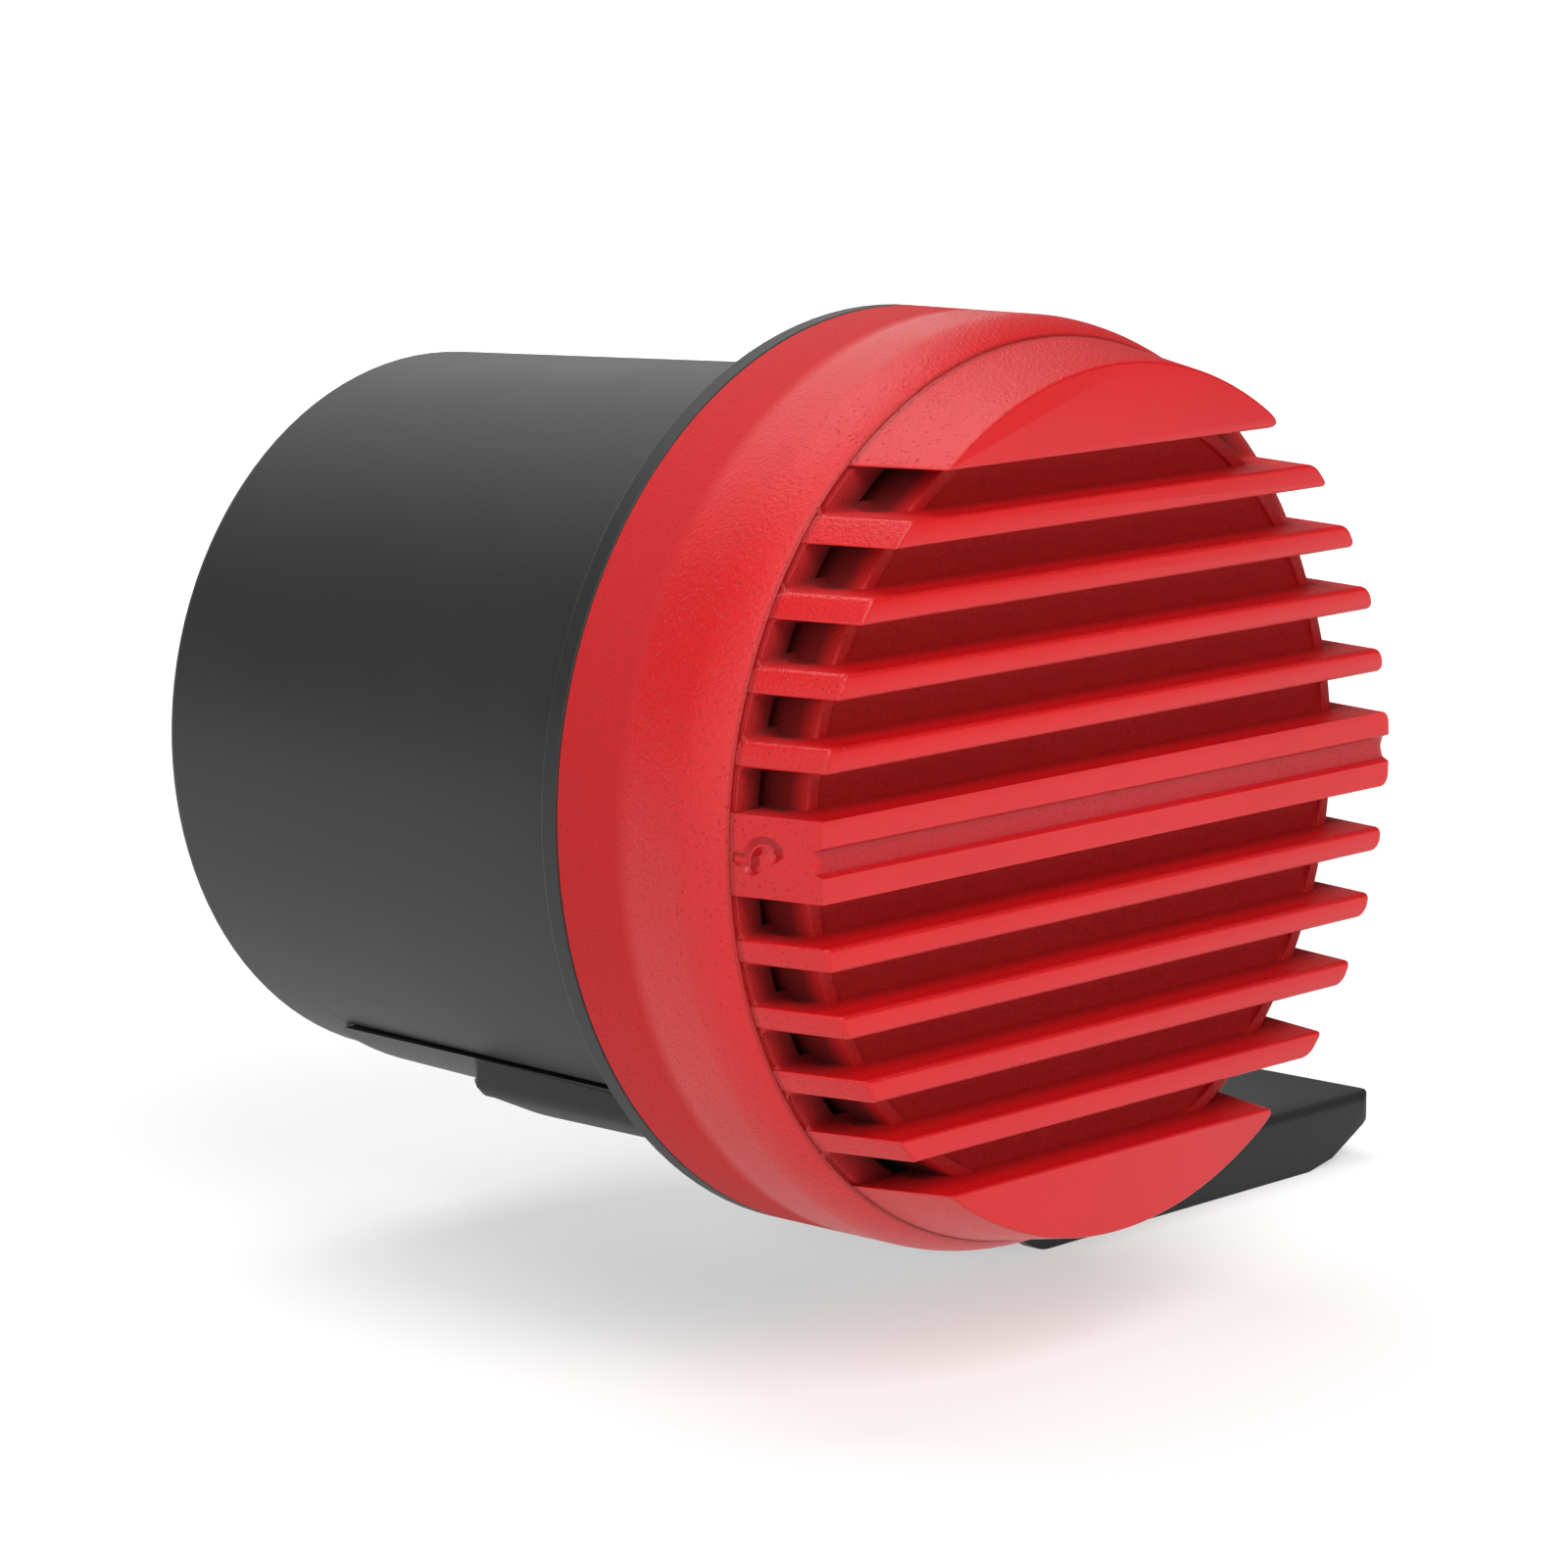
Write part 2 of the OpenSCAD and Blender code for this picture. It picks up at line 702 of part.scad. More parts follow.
module power_leads() {
    color("#8c1d1d") placed() stud_places() rod(lead_r + 0.3, board_back, head_front);
}

module terminal_washers() {
    color(zinc) placed() stud_places() rod(nut_af / 2 + 1, body_len, clamp_y, bore = stud_r + hole_clear);
}

module clamp_nuts() {
    color(zinc) placed() stud_places() hex_nut(clamp_y);
}

module lock_washers() {
    color(steel) placed() stud_places() rod(nut_af / 2 + 0.2, lock_y, cable_y, bore = stud_r + hole_clear);
}

module cable_nuts() {
    color(zinc) placed() stud_places() hex_nut(cable_y);
}

// Mounting bracket: saddle under the pad, foot and one ear on the far side
foot_left_x = 21.5;
foot_round = 4;
foot_lean = 2;
foot_a = 238;
ear_slope = 9.6;
foot_corner_x = ear_reach - ear_slope;
foot_rise = 0.7;
foot_rise_x = 3.5;
saddle_side_z = 20;
saddle_edge = 1;
saddle_low = 27.7;
ear_end_t = 2.2;
ear_top_z = ear_t - foot_drop;
ear_edge = 0.9;
ear_round = 1.5;
ear_fillet = 8;
ear_start = 4;
plan_round = 3;
pocket_w = 7;
pocket_len = 9.5;
pocket_depth = 11;
pocket_rib = 2.2;
pocket_x = foot_left_x - 4;
pocket_front = hole_y - pocket_len - pocket_rib / 2;
bush_r = hole_r + bush_wall;
head_r = fix_r + 1.8;
head_t = 2.4;
head_gap = 0.3;
tip_gap = 0.5;
seat_wall = 3;
seat_z = -saddle_r - seat_wall;
rib_floor = 2;

// Section of saddle, foot and ear, seen along the sound axis
module bracket_section() {
    edge_x = saddle_near - saddle_edge;
    slant_x = saddle_near - saddle_edge / 2;
    slant_z = saddle_low + saddle_edge;
    slant_r = norm([slant_x, slant_z]);
    slant_a = 180 + atan2(slant_z, slant_x) + acos(saddle_r / slant_r);
    plumb_a = 268;
    polygon(concat(
        [[-saddle_near, 0]],
        arc(-edge_x, -saddle_low, saddle_edge, 180, 250, 5),
        arc(0, 0, saddle_r, slant_a, plumb_a, 10),
        arc(foot_left_x + foot_lean, foot_round - foot_drop, foot_round, foot_a, 270, 4),
        [[foot_corner_x, -foot_drop], [foot_corner_x + foot_rise_x, foot_rise - foot_drop],
            [ear_reach, ear_top_z - ear_end_t], [ear_reach, ear_top_z]],
        arc(saddle_far + ear_start + ear_fillet, ear_top_z + ear_fillet, ear_fillet, 270, 180, 6),
        [[saddle_far, -saddle_side_z], [saddle_far, 0]]
    ));
}

// Plan of the bracket, seen from above
module bracket_plan() {
    translate([0, 0, -foot_drop - over]) linear_extrude(foot_drop + 2 * over) polygon(concat(
        arc(ear_round - saddle_near, bracket_front + ear_round, ear_round, 180, 270, 5),
        arc(ear_reach - ear_round, bracket_front + ear_round, ear_round, 270, 360, 4),
        arc(ear_reach - plan_round, ear_back - plan_round, plan_round, 0, 90, 5),
        [[saddle_far + ear_start, ear_back], [saddle_far, bracket_back]],
        arc(ear_round - saddle_near, bracket_back - ear_round, ear_round, 90, 180, 5)
    ));
}

// Depth and height of the bracket seen from the side, with the ear's round upper edges
module bracket_side() {
    lap = 0.01;
    across(-saddle_near - over, saddle_far + ear_start) polygon([
        [bracket_front, -foot_drop], [bracket_back, -foot_drop], [bracket_back, 0], [bracket_front, 0]
    ]);
    across(saddle_far + ear_start - lap, ear_reach + over) polygon(concat(
        [[bracket_front, -foot_drop], [ear_back, -foot_drop]],
        arc(ear_back - ear_edge, ear_top_z - ear_edge, ear_edge, 0, 90, 4),
        arc(bracket_front + ear_edge, ear_top_z - ear_edge, ear_edge, 90, 180, 4)
    ));
}

module bracket_screw_places() {
    for (k = [0, 1]) translate([fix_x, fix_y + k * fix_pitch, 0]) children();
}

module mounting_bracket() {
    color("#242425") placed() difference() {
        intersection() {
            along(bracket_front, bracket_back) bracket_section();
            bracket_plan();
            bracket_side();
        }
        pad_cone(body_front - foot_round, body_len);
        translate([-rim_r, body_front - over, rib_floor - pad_edge_z]) cube([2 * rim_r, body_len, rim_r]);
        bracket_screw_places() {
            translate([0, 0, -foot_drop - over]) cylinder(r = fix_r + screw_clear, h = foot_drop, $fn = fine);
            translate([0, 0, -foot_drop - over])
                cylinder(r = head_r + head_gap, h = foot_drop + over + seat_z, $fn = fine);
        }
        for (start = [pocket_front, pocket_front + pocket_len + pocket_rib])
            translate([pocket_x, start, -foot_drop - over]) cube([pocket_w, pocket_len, pocket_depth + over]);
        translate([hole_x, hole_y, -foot_drop - over]) cylinder(r = bush_r, h = ear_t + 2 * over, $fn = fine);
    }
}

module bracket_screws() {
    color(zinc) placed() bracket_screw_places() {
        translate([0, 0, seat_z - head_t]) cylinder(r = head_r, h = head_t, $fn = fine);
        translate([0, 0, seat_z - head_t / 2])
            cylinder(r = fix_r, h = fix_tip_z - tip_gap - seat_z + head_t / 2, $fn = fine);
    }
}

module mount_bush() {
    color(zinc) placed() translate([hole_x, hole_y, -foot_drop]) difference() {
        cylinder(r = bush_r, h = ear_t, $fn = fine);
        translate([0, 0, -over]) cylinder(r = hole_r, h = ear_t + 2 * over, $fn = fine);
    }
}

grille_cap();
dust_screen();
driver_gasket();
driver_frame();
surround();
cone_diaphragm();
dust_cap();
spider();
voice_coil();
top_plate();
magnet();
back_plate();
terminal_strip();
driver_leads();
housing();
cap_seal();
circuit_board();
board_screws();
capacitors();
choke_coil();
power_transistor();
controller_chip();
resistors();
positive_stud();
negative_stud();
stud_seals();
power_leads();
terminal_washers();
clamp_nuts();
lock_washers();
cable_nuts();
mounting_bracket();
bracket_screws();
mount_bush();
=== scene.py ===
import json
import math

import bmesh
import bpy
from mathutils import Matrix, Vector


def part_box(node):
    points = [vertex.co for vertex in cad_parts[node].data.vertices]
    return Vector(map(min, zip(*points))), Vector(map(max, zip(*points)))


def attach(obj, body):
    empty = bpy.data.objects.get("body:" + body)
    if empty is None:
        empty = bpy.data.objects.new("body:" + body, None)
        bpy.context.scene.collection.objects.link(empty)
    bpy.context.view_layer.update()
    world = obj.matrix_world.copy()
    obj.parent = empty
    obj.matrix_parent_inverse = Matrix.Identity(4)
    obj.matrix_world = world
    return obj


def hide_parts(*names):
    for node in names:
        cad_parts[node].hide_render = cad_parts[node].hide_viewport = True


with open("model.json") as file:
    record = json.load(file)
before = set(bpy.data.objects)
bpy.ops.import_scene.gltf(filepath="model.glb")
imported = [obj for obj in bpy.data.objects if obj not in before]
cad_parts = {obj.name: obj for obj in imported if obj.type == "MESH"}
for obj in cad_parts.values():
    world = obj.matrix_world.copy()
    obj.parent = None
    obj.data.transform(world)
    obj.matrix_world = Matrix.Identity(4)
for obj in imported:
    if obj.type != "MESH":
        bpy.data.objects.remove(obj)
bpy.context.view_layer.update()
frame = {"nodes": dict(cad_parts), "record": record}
nodes = frame["nodes"]

# every new piece is drawn in millimetres: x across, y from the grille's front face
# towards the rear, z up, with the sound axis at x = z = 0
mmPerMetre = 1000
capLow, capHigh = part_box("grille_cap")
axisPoint = Vector(((capLow.x + capHigh.x) / 2, capLow.y, (capLow.z + capHigh.z) / 2))
print("frame loaded, sound axis at", [round(v * mmPerMetre, 2) for v in axisPoint])


# shader helpers

class Value:
    # wraps one socket, so that sums written in Python become Math nodes
    def __init__(self, finish, socket):
        self.finish = finish
        self.socket = socket

    def reckon(self, operation, *terms):
        return self.finish.add("ShaderNodeMath", {"operation": operation}, dict(enumerate(terms)))

    def __add__(self, other):
        return self.reckon("ADD", self, other)

    def __radd__(self, other):
        return self.reckon("ADD", other, self)

    def __sub__(self, other):
        return self.reckon("SUBTRACT", self, other)

    def __rsub__(self, other):
        return self.reckon("SUBTRACT", other, self)

    def __mul__(self, other):
        return self.reckon("MULTIPLY", self, other)

    def __rmul__(self, other):
        return self.reckon("MULTIPLY", other, self)

    def __truediv__(self, other):
        return self.reckon("DIVIDE", self, other)

    def __rtruediv__(self, other):
        return self.reckon("DIVIDE", other, self)

    def __pow__(self, other):
        return self.reckon("POWER", self, other)

    def sine(self):
        return self.reckon("SINE", self)

    def largest(self, other):
        return self.reckon("MAXIMUM", self, other)

    def wave(self, perMm):
        return (self * (perMm * mmPerMetre * 2 * math.pi)).sine()

    def ramp(self, fromLow, fromHigh, toLow=0.0, toHigh=1.0):
        return self.finish.add("ShaderNodeMapRange", {"clamp": True}, {
            "Value": self, "From Min": fromLow, "From Max": fromHigh, "To Min": toLow, "To Max": toHigh})

    def fade(self, fromLow, fromHigh):
        return self.ramp(fromLow, fromHigh, 1, 0)

    def band(self, start, full, fading, gone):
        return self.ramp(start, full) * self.fade(fading, gone)


class Finish:
    # one material, with its nodes added in a line each
    def __init__(self, name, **constants):
        self.material = bpy.data.materials.new(name)
        self.material.use_nodes = True
        self.tree = self.material.node_tree
        self.shader = self.tree.nodes["Principled BSDF"]
        self.place = self.add("ShaderNodeTexCoord", {}, {}, "Object")
        for socket, value in constants.items():
            self.shader.inputs[socket.replace("_", " ")].default_value = value

    def add(self, kind, settings, inputs, output=0):
        node = self.tree.nodes.new(kind)
        for key, setting in settings.items():
            setattr(node, key, setting)
        for key, term in inputs.items():
            if isinstance(term, Value):
                self.tree.links.new(term.socket, node.inputs[key])
            else:
                node.inputs[key].default_value = term
        return Value(self, node.outputs[output])

    def noise(self, perMm, detail=2.0, roughness=0.5):
        return self.add("ShaderNodeTexNoise", {"noise_dimensions": "3D"}, {
            "Vector": self.place, "Scale": perMm * mmPerMetre, "Detail": detail, "Roughness": roughness})

    def cells(self, perMm):
        return self.add("ShaderNodeTexVoronoi", {"feature": "F1"}, {
            "Vector": self.place, "Scale": perMm * mmPerMetre})

    def blend(self, factor, first, second):
        return self.add("ShaderNodeMix", {"data_type": "RGBA"}, {
            "Factor": factor, 6: first, 7: second}, 2)

    def split(self, vector):
        node = self.tree.nodes.new("ShaderNodeSeparateXYZ")
        self.tree.links.new(vector.socket, node.inputs[0])
        return [Value(self, socket) for socket in node.outputs]

    def forwards(self):
        # how far the surface faces the front, from -1 to 1
        return self.split(self.add("ShaderNodeNewGeometry", {}, {}, "Normal"))[1] * -1

    def bump(self, height, distanceMm, strength=1.0):
        return self.add("ShaderNodeBump", {}, {
            "Strength": strength, "Distance": distanceMm / mmPerMetre, "Height": height})

    def drive(self, **sockets):
        for socket, value in sockets.items():
            self.tree.links.new(value.socket, self.shader.inputs[socket.replace("_", " ")])
        return self.material


# mesh helpers

# distances in mm and an angle in degrees; the last two tell the faces that lie round the sound axis
drawing = {
    "cornerSegments": 4, "mergeClose": 0.001, "mergeCopy": 0.002, "cutSlack": 0.0001, "sameWithin": 0.0001,
    "flatWithin": 0.6, "steepestTurned": 0.12, "leastOutward": 0.985,
}


def roundedOutline(bm, corners):
    # a flat face in the xy plane from corners (x, y, radius), each rounded by a vertex bevel;
    # a fourth number in a corner gives the segments of its arc
    points = [Vector((c[0], c[1], 0)) for c in corners]
    verts = [bm.verts.new(p) for p in points]
    bm.faces.new(verts)
    for i, corner in enumerate(corners):
        radius = corner[2]
        if radius <= 0:
            continue
        before = points[i] - points[i - 1]
        after = points[(i + 1) % len(points)] - points[i]
        turn = before.angle(after)
        segments = corner[3] if len(corner) > 3 else drawing["cornerSegments"]
        bmesh.ops.bevel(bm, geom=[verts[i]], offset=radius * math.tan(turn / 2), offset_type="OFFSET",
                        segments=segments, profile=0.5, affect="VERTICES", material=-1)


def spunSolid(corners, steps=192, place=None):
    # a closed outline of radius and depth, spun once about the sound axis
    bm = bmesh.new()
    roundedOutline(bm, corners)
    bmesh.ops.delete(bm, geom=bm.faces[:], context="FACES_ONLY")
    bmesh.ops.spin(bm, geom=bm.verts[:] + bm.edges[:], cent=(0, 0, 0), axis=(0, 1, 0), dvec=(0, 0, 0),
                   angle=2 * math.pi, steps=steps, use_merge=True, use_duplicate=False)
    bmesh.ops.remove_doubles(bm, verts=bm.verts[:], dist=drawing["mergeClose"])
    bmesh.ops.recalc_face_normals(bm, faces=bm.faces[:])
    if place:
        bmesh.ops.translate(bm, vec=place, verts=bm.verts[:])
    return bm


def joined(parts):
    # several closed shells of one moulding, kept in one mesh
    whole = bmesh.new()
    for part in parts:
        scratch = bpy.data.meshes.new("scratch")
        part.to_mesh(scratch)
        part.free()
        whole.from_mesh(scratch)
        bpy.data.meshes.remove(scratch)
    return whole


def softenEdges(bm, edges, radius, segments=3, clamp=True):
    bmesh.ops.bevel(bm, geom=edges, offset=radius, offset_type="OFFSET", segments=segments, profile=0.5,
                    affect="EDGES", clamp_overlap=clamp, material=-1)


def cutThrough(bm, place, direction, clearOuter=False):
    # adds edges where a plane meets the faces, and can drop what lies beyond it
    bmesh.ops.bisect_plane(bm, geom=bm.verts[:] + bm.edges[:] + bm.faces[:], dist=drawing["cutSlack"],
                           plane_co=place, plane_no=direction, clear_outer=clearOuter)


def pullOut(bm, faces, along):
    # the faces extruded into a solid
    grown = bmesh.ops.extrude_face_region(bm, geom=faces)["geom"]
    bmesh.ops.translate(bm, vec=along, verts=[g for g in grown if isinstance(g, bmesh.types.BMVert)])
    bmesh.ops.recalc_face_normals(bm, faces=bm.faces[:])


def same(first, second):
    return abs(first - second) < drawing["sameWithin"]


def sharpEdges(bm, degrees):
    return [e for e in bm.edges if e.is_manifold and e.calc_face_angle(0) > math.radians(degrees)]


def hexagonRadius(flats, angle):
    # how far the outline of a hexagon lies from its centre at an angle
    return flats / 2 / math.cos(angle % (math.pi / 3) - math.pi / 6)


def nodeCopy(node):
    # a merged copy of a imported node, with its flat faces made whole again, in millimetres
    bm = bmesh.new()
    bm.from_mesh(nodes[node].data)
    inMm = Matrix.Scale(mmPerMetre, 4) @ Matrix.Translation(-axisPoint)
    bmesh.ops.transform(bm, matrix=inMm, verts=bm.verts[:])
    bmesh.ops.remove_doubles(bm, verts=bm.verts[:], dist=drawing["mergeCopy"])
    bmesh.ops.dissolve_limit(bm, angle_limit=math.radians(drawing["flatWithin"]), verts=bm.verts[:],
                             edges=bm.edges[:], use_dissolve_boundaries=False)
    return bm


def trueNormals(mesh):
    # faces that lie round the sound axis are shaded by its exact normals, the others as usual
    normals = [(0, 0, 0)] * len(mesh.loops)
    for face in mesh.polygons:
        fromAxis = face.center - axisPoint
        fromAxis.y = 0
        lean = face.normal.y
        outwards = face.normal.dot(fromAxis.normalized())
        if abs(lean) > drawing["steepestTurned"] or outwards < drawing["leastOutward"]:
            continue
        for loop in face.loop_indices:
            corner = mesh.vertices[mesh.loops[loop].vertex_index].co - axisPoint
            outward = Vector((corner.x, 0, corner.z)).normalized() * math.sqrt(1 - lean * lean)
            normals[loop] = (outward.x, lean, outward.z)
    mesh.normals_split_custom_set(normals)


def settle(bm, name, material, slot, *replaced, sharp=32, turned=False):
    # the drawn piece goes to its place in the frame; edges over the sharp angle, in degrees,
    # stay sharp
    inPlace = Matrix.Translation(axisPoint) @ Matrix.Scale(1 / mmPerMetre, 4)
    bmesh.ops.transform(bm, matrix=inPlace, verts=bm.verts[:])
    mesh = bpy.data.meshes.new(name)
    bm.to_mesh(mesh)
    bm.free()
    mesh.shade_smooth()
    mesh.set_sharp_from_angle(angle=math.radians(sharp))
    if turned:
        trueNormals(mesh)
    mesh.materials.append(material)
    piece = bpy.data.objects.new(name, mesh)
    bpy.context.scene.collection.objects.link(piece)
    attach(piece, "root")
    if replaced:
        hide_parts(*replaced)
    print(name, "made,", len(mesh.polygons), "faces")
    return piece


# finishes of the moulded outer parts

# a mask rises or falls between its two numbers, or rises and falls between its four: in mm of
# depth behind the front face or of radius, or in square mm for a height off the middle
redLook = {
    # the shade, crease, groove, gap and flange colours are painted shade; colour and deep are the red's
    # own tones
    "colour": (0.65, 0.006, 0.009, 1), "deep": (0.48, 0.003, 0.005, 1), "shade": (0.46, 0.003, 0.005, 1),
    "grooveShadeColour": (0.42, 0.006, 0.014, 1), "gapShadeColour": (0.17, 0.0008, 0.001, 1),
    "creaseShadeColour": (0.3, 0.001, 0.0015, 1), "flangeShadeColour": (0.1, 0.0006, 0.001, 1),
    "frontRoughness": 0.36, "grainRoughness": 0.37, "sunkRoughness": 0.78,
    "cloudRoughness": 0.06, "grooveDulling": 0.12, "gapDulling": 0.2,
    "grainPerMm": 2.9, "grainMm": 0.115, "pitsPerMm": 1.8, "pitMm": 0.08, "pitRing": (0.08, 0.2),
    "wavesPerMm": 0.14, "waveMm": 0.04, "cloudsPerMm": 0.05, "bumpStrength": 0.85,
    "frontGrain": 0.12, "frontTone": 0.15, "cloudTone": 0.3, "grainTone": 0.35, "pitTone": 0.5,
    "leastTone": 0.35, "toneRange": (0.3, 0.7),
    "frontFacing": (0.9, 0.985), "frontDepth": (0.12, 0.3),
    "grooveDepth": (0.2, 0.4, 0.55, 0.65), "grooveHeight": (0.85, 1.1), "grooveShare": 0.85,
    "coneSlope": 0.191, "insideRadius": (34.5, 34.8), "sunkDepth": (0.8, 4.2), "sunkShare": 0.85,
    "ringRadius": (31.1, 31.25), "ringDepth": (4.1, 4.3), "ringLight": 0.4,
    "gapDepth": (4.5, 6.0), "gapRadius": (33.4, 33.8),
    "flangeDepth": (7.3, 7.8), "flangeRadius": (33.6, 36.7),
    "creaseDepth": (7.55, 7.75, 8.2, 8.35), "creaseRadius": (35.9, 36.1), "creaseShare": 0.75,
}

# the mark where the melt entered, on the left end of the wide bar: its place across, in depth
# and in height, and the ring of its hook in shares of its radius
gateMark = {
    "at": (-36.0, 5.0, -0.3), "radius": 1.7, "depthMm": 1.0, "leftEnd": (34, 34.3),
    "hookRing": (0.35, 0.7, 0.8, 1.15), "hookOpening": (-0.9, 0.1), "hookLean": 0.6,
    "furrowDepth": (5.4, 6.0, 7.6, 7.8), "furrowHeight": (0.01, 0.3), "furrowShare": 0.7,
}


def meltEntry(mark, across, depth, up):
    # a hooked dent, with a short furrow back to the crease
    markX, markY, markZ = mark["at"]
    fromMark = ((across - markX) ** 2 + (depth - markY) ** 2 + (up - markZ) ** 2) ** 0.5 / mark["radius"]
    opening = (up + (depth - markY) * mark["hookLean"]).ramp(*mark["hookOpening"])
    hook = fromMark.band(*mark["hookRing"]) * opening
    furrow = depth.band(*mark["furrowDepth"]) * ((up - markZ) ** 2).fade(*mark["furrowHeight"])
    onLeft = (across * -1).ramp(*mark["leftEnd"])
    return hook.largest(furrow * mark["furrowShare"]) * onLeft * mark["depthMm"]


def redMoulding(look):
    # satin on the front faces of the bars, spark-eroded grain on everything else
    finish = Finish("red moulding", IOR=1.45)
    x, y, z = finish.split(finish.place)
    depth = (y - axisPoint.y) * mmPerMetre
    across, up = (x - axisPoint.x) * mmPerMetre, (z - axisPoint.z) * mmPerMetre
    radius = (across ** 2 + up ** 2) ** 0.5
    flatFront = finish.forwards().ramp(*look["frontFacing"]) * depth.fade(*look["frontDepth"])
    rough = 1 - flatFront
    grain = finish.noise(look["grainPerMm"], 3, 0.65)
    pits = finish.cells(look["pitsPerMm"]).ramp(*look["pitRing"])
    clouds = finish.noise(look["cloudsPerMm"], 3, 0.55)
    waves = finish.noise(look["wavesPerMm"], 2, 0.5)
    skin = grain * look["grainMm"] + pits * look["pitMm"]
    dent = meltEntry(gateMark, across, depth, up)
    height = skin * (rough * (1 - look["frontGrain"]) + look["frontGrain"]) + waves * look["waveMm"] - dent
    # the floor of the groove in the wide bar is as rough as the sides, and painted darker as painted shade
    grooved = depth.band(*look["grooveDepth"]) * (up * up).fade(*look["grooveHeight"])
    # deeper inside the slots the colour is darkened as painted shade, less so on the baffle ring's front
    # face, and the surface goes duller; the gap around the baffle is painted almost black as painted shade
    inside = (radius - depth * look["coneSlope"]).fade(*look["insideRadius"])
    ringFace = radius.ramp(*look["ringRadius"]) * depth.fade(*look["ringDepth"])
    sunk = depth.ramp(*look["sunkDepth"]) * inside * (1 - ringFace * look["ringLight"])
    # painted shade: the ring's wall and the gap around the baffle go almost black
    gap = depth.ramp(*look["gapDepth"]) * radius.fade(*look["gapRadius"])
    # painted shade on the flange between the bars' roots, where little light gets in
    flange = depth.ramp(*look["flangeDepth"]) * radius.fade(*look["flangeRadius"])
    # the crease between the bars' roots and the shoulder is painted darker, as painted shade
    crease = depth.band(*look["creaseDepth"]) * radius.ramp(*look["creaseRadius"])
    # grain and pits show in the colour too, less so on the smooth fronts
    grainTone = grain.ramp(*look["toneRange"]) * look["grainTone"]
    speckled = grainTone + (1 - pits) * look["pitTone"] + look["leastTone"]
    grained = speckled * (rough * (1 - look["frontTone"]) + look["frontTone"])
    tone = clouds.ramp(*look["toneRange"]) * look["cloudTone"] + grained
    outer = finish.blend(tone, look["colour"], look["deep"])
    creased = finish.blend(crease * look["creaseShare"], outer, look["creaseShadeColour"])
    # painted shade on the groove floor
    outside = finish.blend(grooved * look["grooveShare"], creased, look["grooveShadeColour"])
    # painted shade deep in the slots and on the baffle disc
    shaded = finish.blend(sunk * look["sunkShare"], outside, look["shade"])
    inner = finish.blend(flange, shaded, look["flangeShadeColour"])
    colour = finish.blend(gap, inner, look["gapShadeColour"])
    mottle = clouds * look["cloudRoughness"] - look["cloudRoughness"] / 2
    roughness = flatFront * look["frontRoughness"] + rough * look["grainRoughness"] + mottle
    sunkDulling = sunk * (look["sunkRoughness"] - look["grainRoughness"])
    dull = roughness + sunkDulling + grooved * look["grooveDulling"] + gap * look["gapDulling"]
    return finish.drive(Base_Color=colour, Roughness=dull,
                        Normal=finish.bump(height, 1.0, look["bumpStrength"]))


blackLook = {
    "colour": (0.0095, 0.0095, 0.0098, 1), "worn": (0.017, 0.017, 0.0174, 1),
    "roughness": 0.5, "grainPerMm": 4.6, "grainMm": 0.016,
}
bracketLook = {
    "colour": (0.008, 0.008, 0.0083, 1), "worn": (0.014, 0.014, 0.0145, 1),
    "roughness": 0.55, "grainPerMm": 3.4, "grainMm": 0.02,
}
blackSkin = {
    "cloudsPerMm": 0.045, "flecksPerMm": 0.9, "cloudRange": (0.35, 0.7), "grainRange": (0.3, 0.7),
    "fleckRange": (0.62, 0.75), "cloudTone": 0.4, "grainTone": 0.5, "fleckTone": 0.15,
    "cloudRoughness": 0.12, "grainRoughness": 0.08, "bumpStrength": 0.7,
}


def blackMoulding(name, look):
    # fine matt grain, with slow changes of tone and a few rubbed flecks
    finish = Finish(name, IOR=1.46)
    skin = blackSkin
    grain = finish.noise(look["grainPerMm"], 3, 0.6)
    clouds = finish.noise(skin["cloudsPerMm"], 3, 0.6)
    flecks = finish.noise(skin["flecksPerMm"], 2, 0.5).ramp(*skin["fleckRange"])
    cloudTone = clouds.ramp(*skin["cloudRange"]) * skin["cloudTone"]
    grainTone = grain.ramp(*skin["grainRange"]) * skin["grainTone"]
    tone = cloudTone + grainTone + flecks * skin["fleckTone"]
    uneven = clouds * skin["cloudRoughness"] + grain * skin["grainRoughness"]
    spread = (skin["cloudRoughness"] + skin["grainRoughness"]) / 2
    roughness = uneven + look["roughness"] - spread
    return finish.drive(Base_Color=finish.blend(tone, look["colour"], look["worn"]), Roughness=roughness,
                        Normal=finish.bump(grain, look["grainMm"], skin["bumpStrength"]))


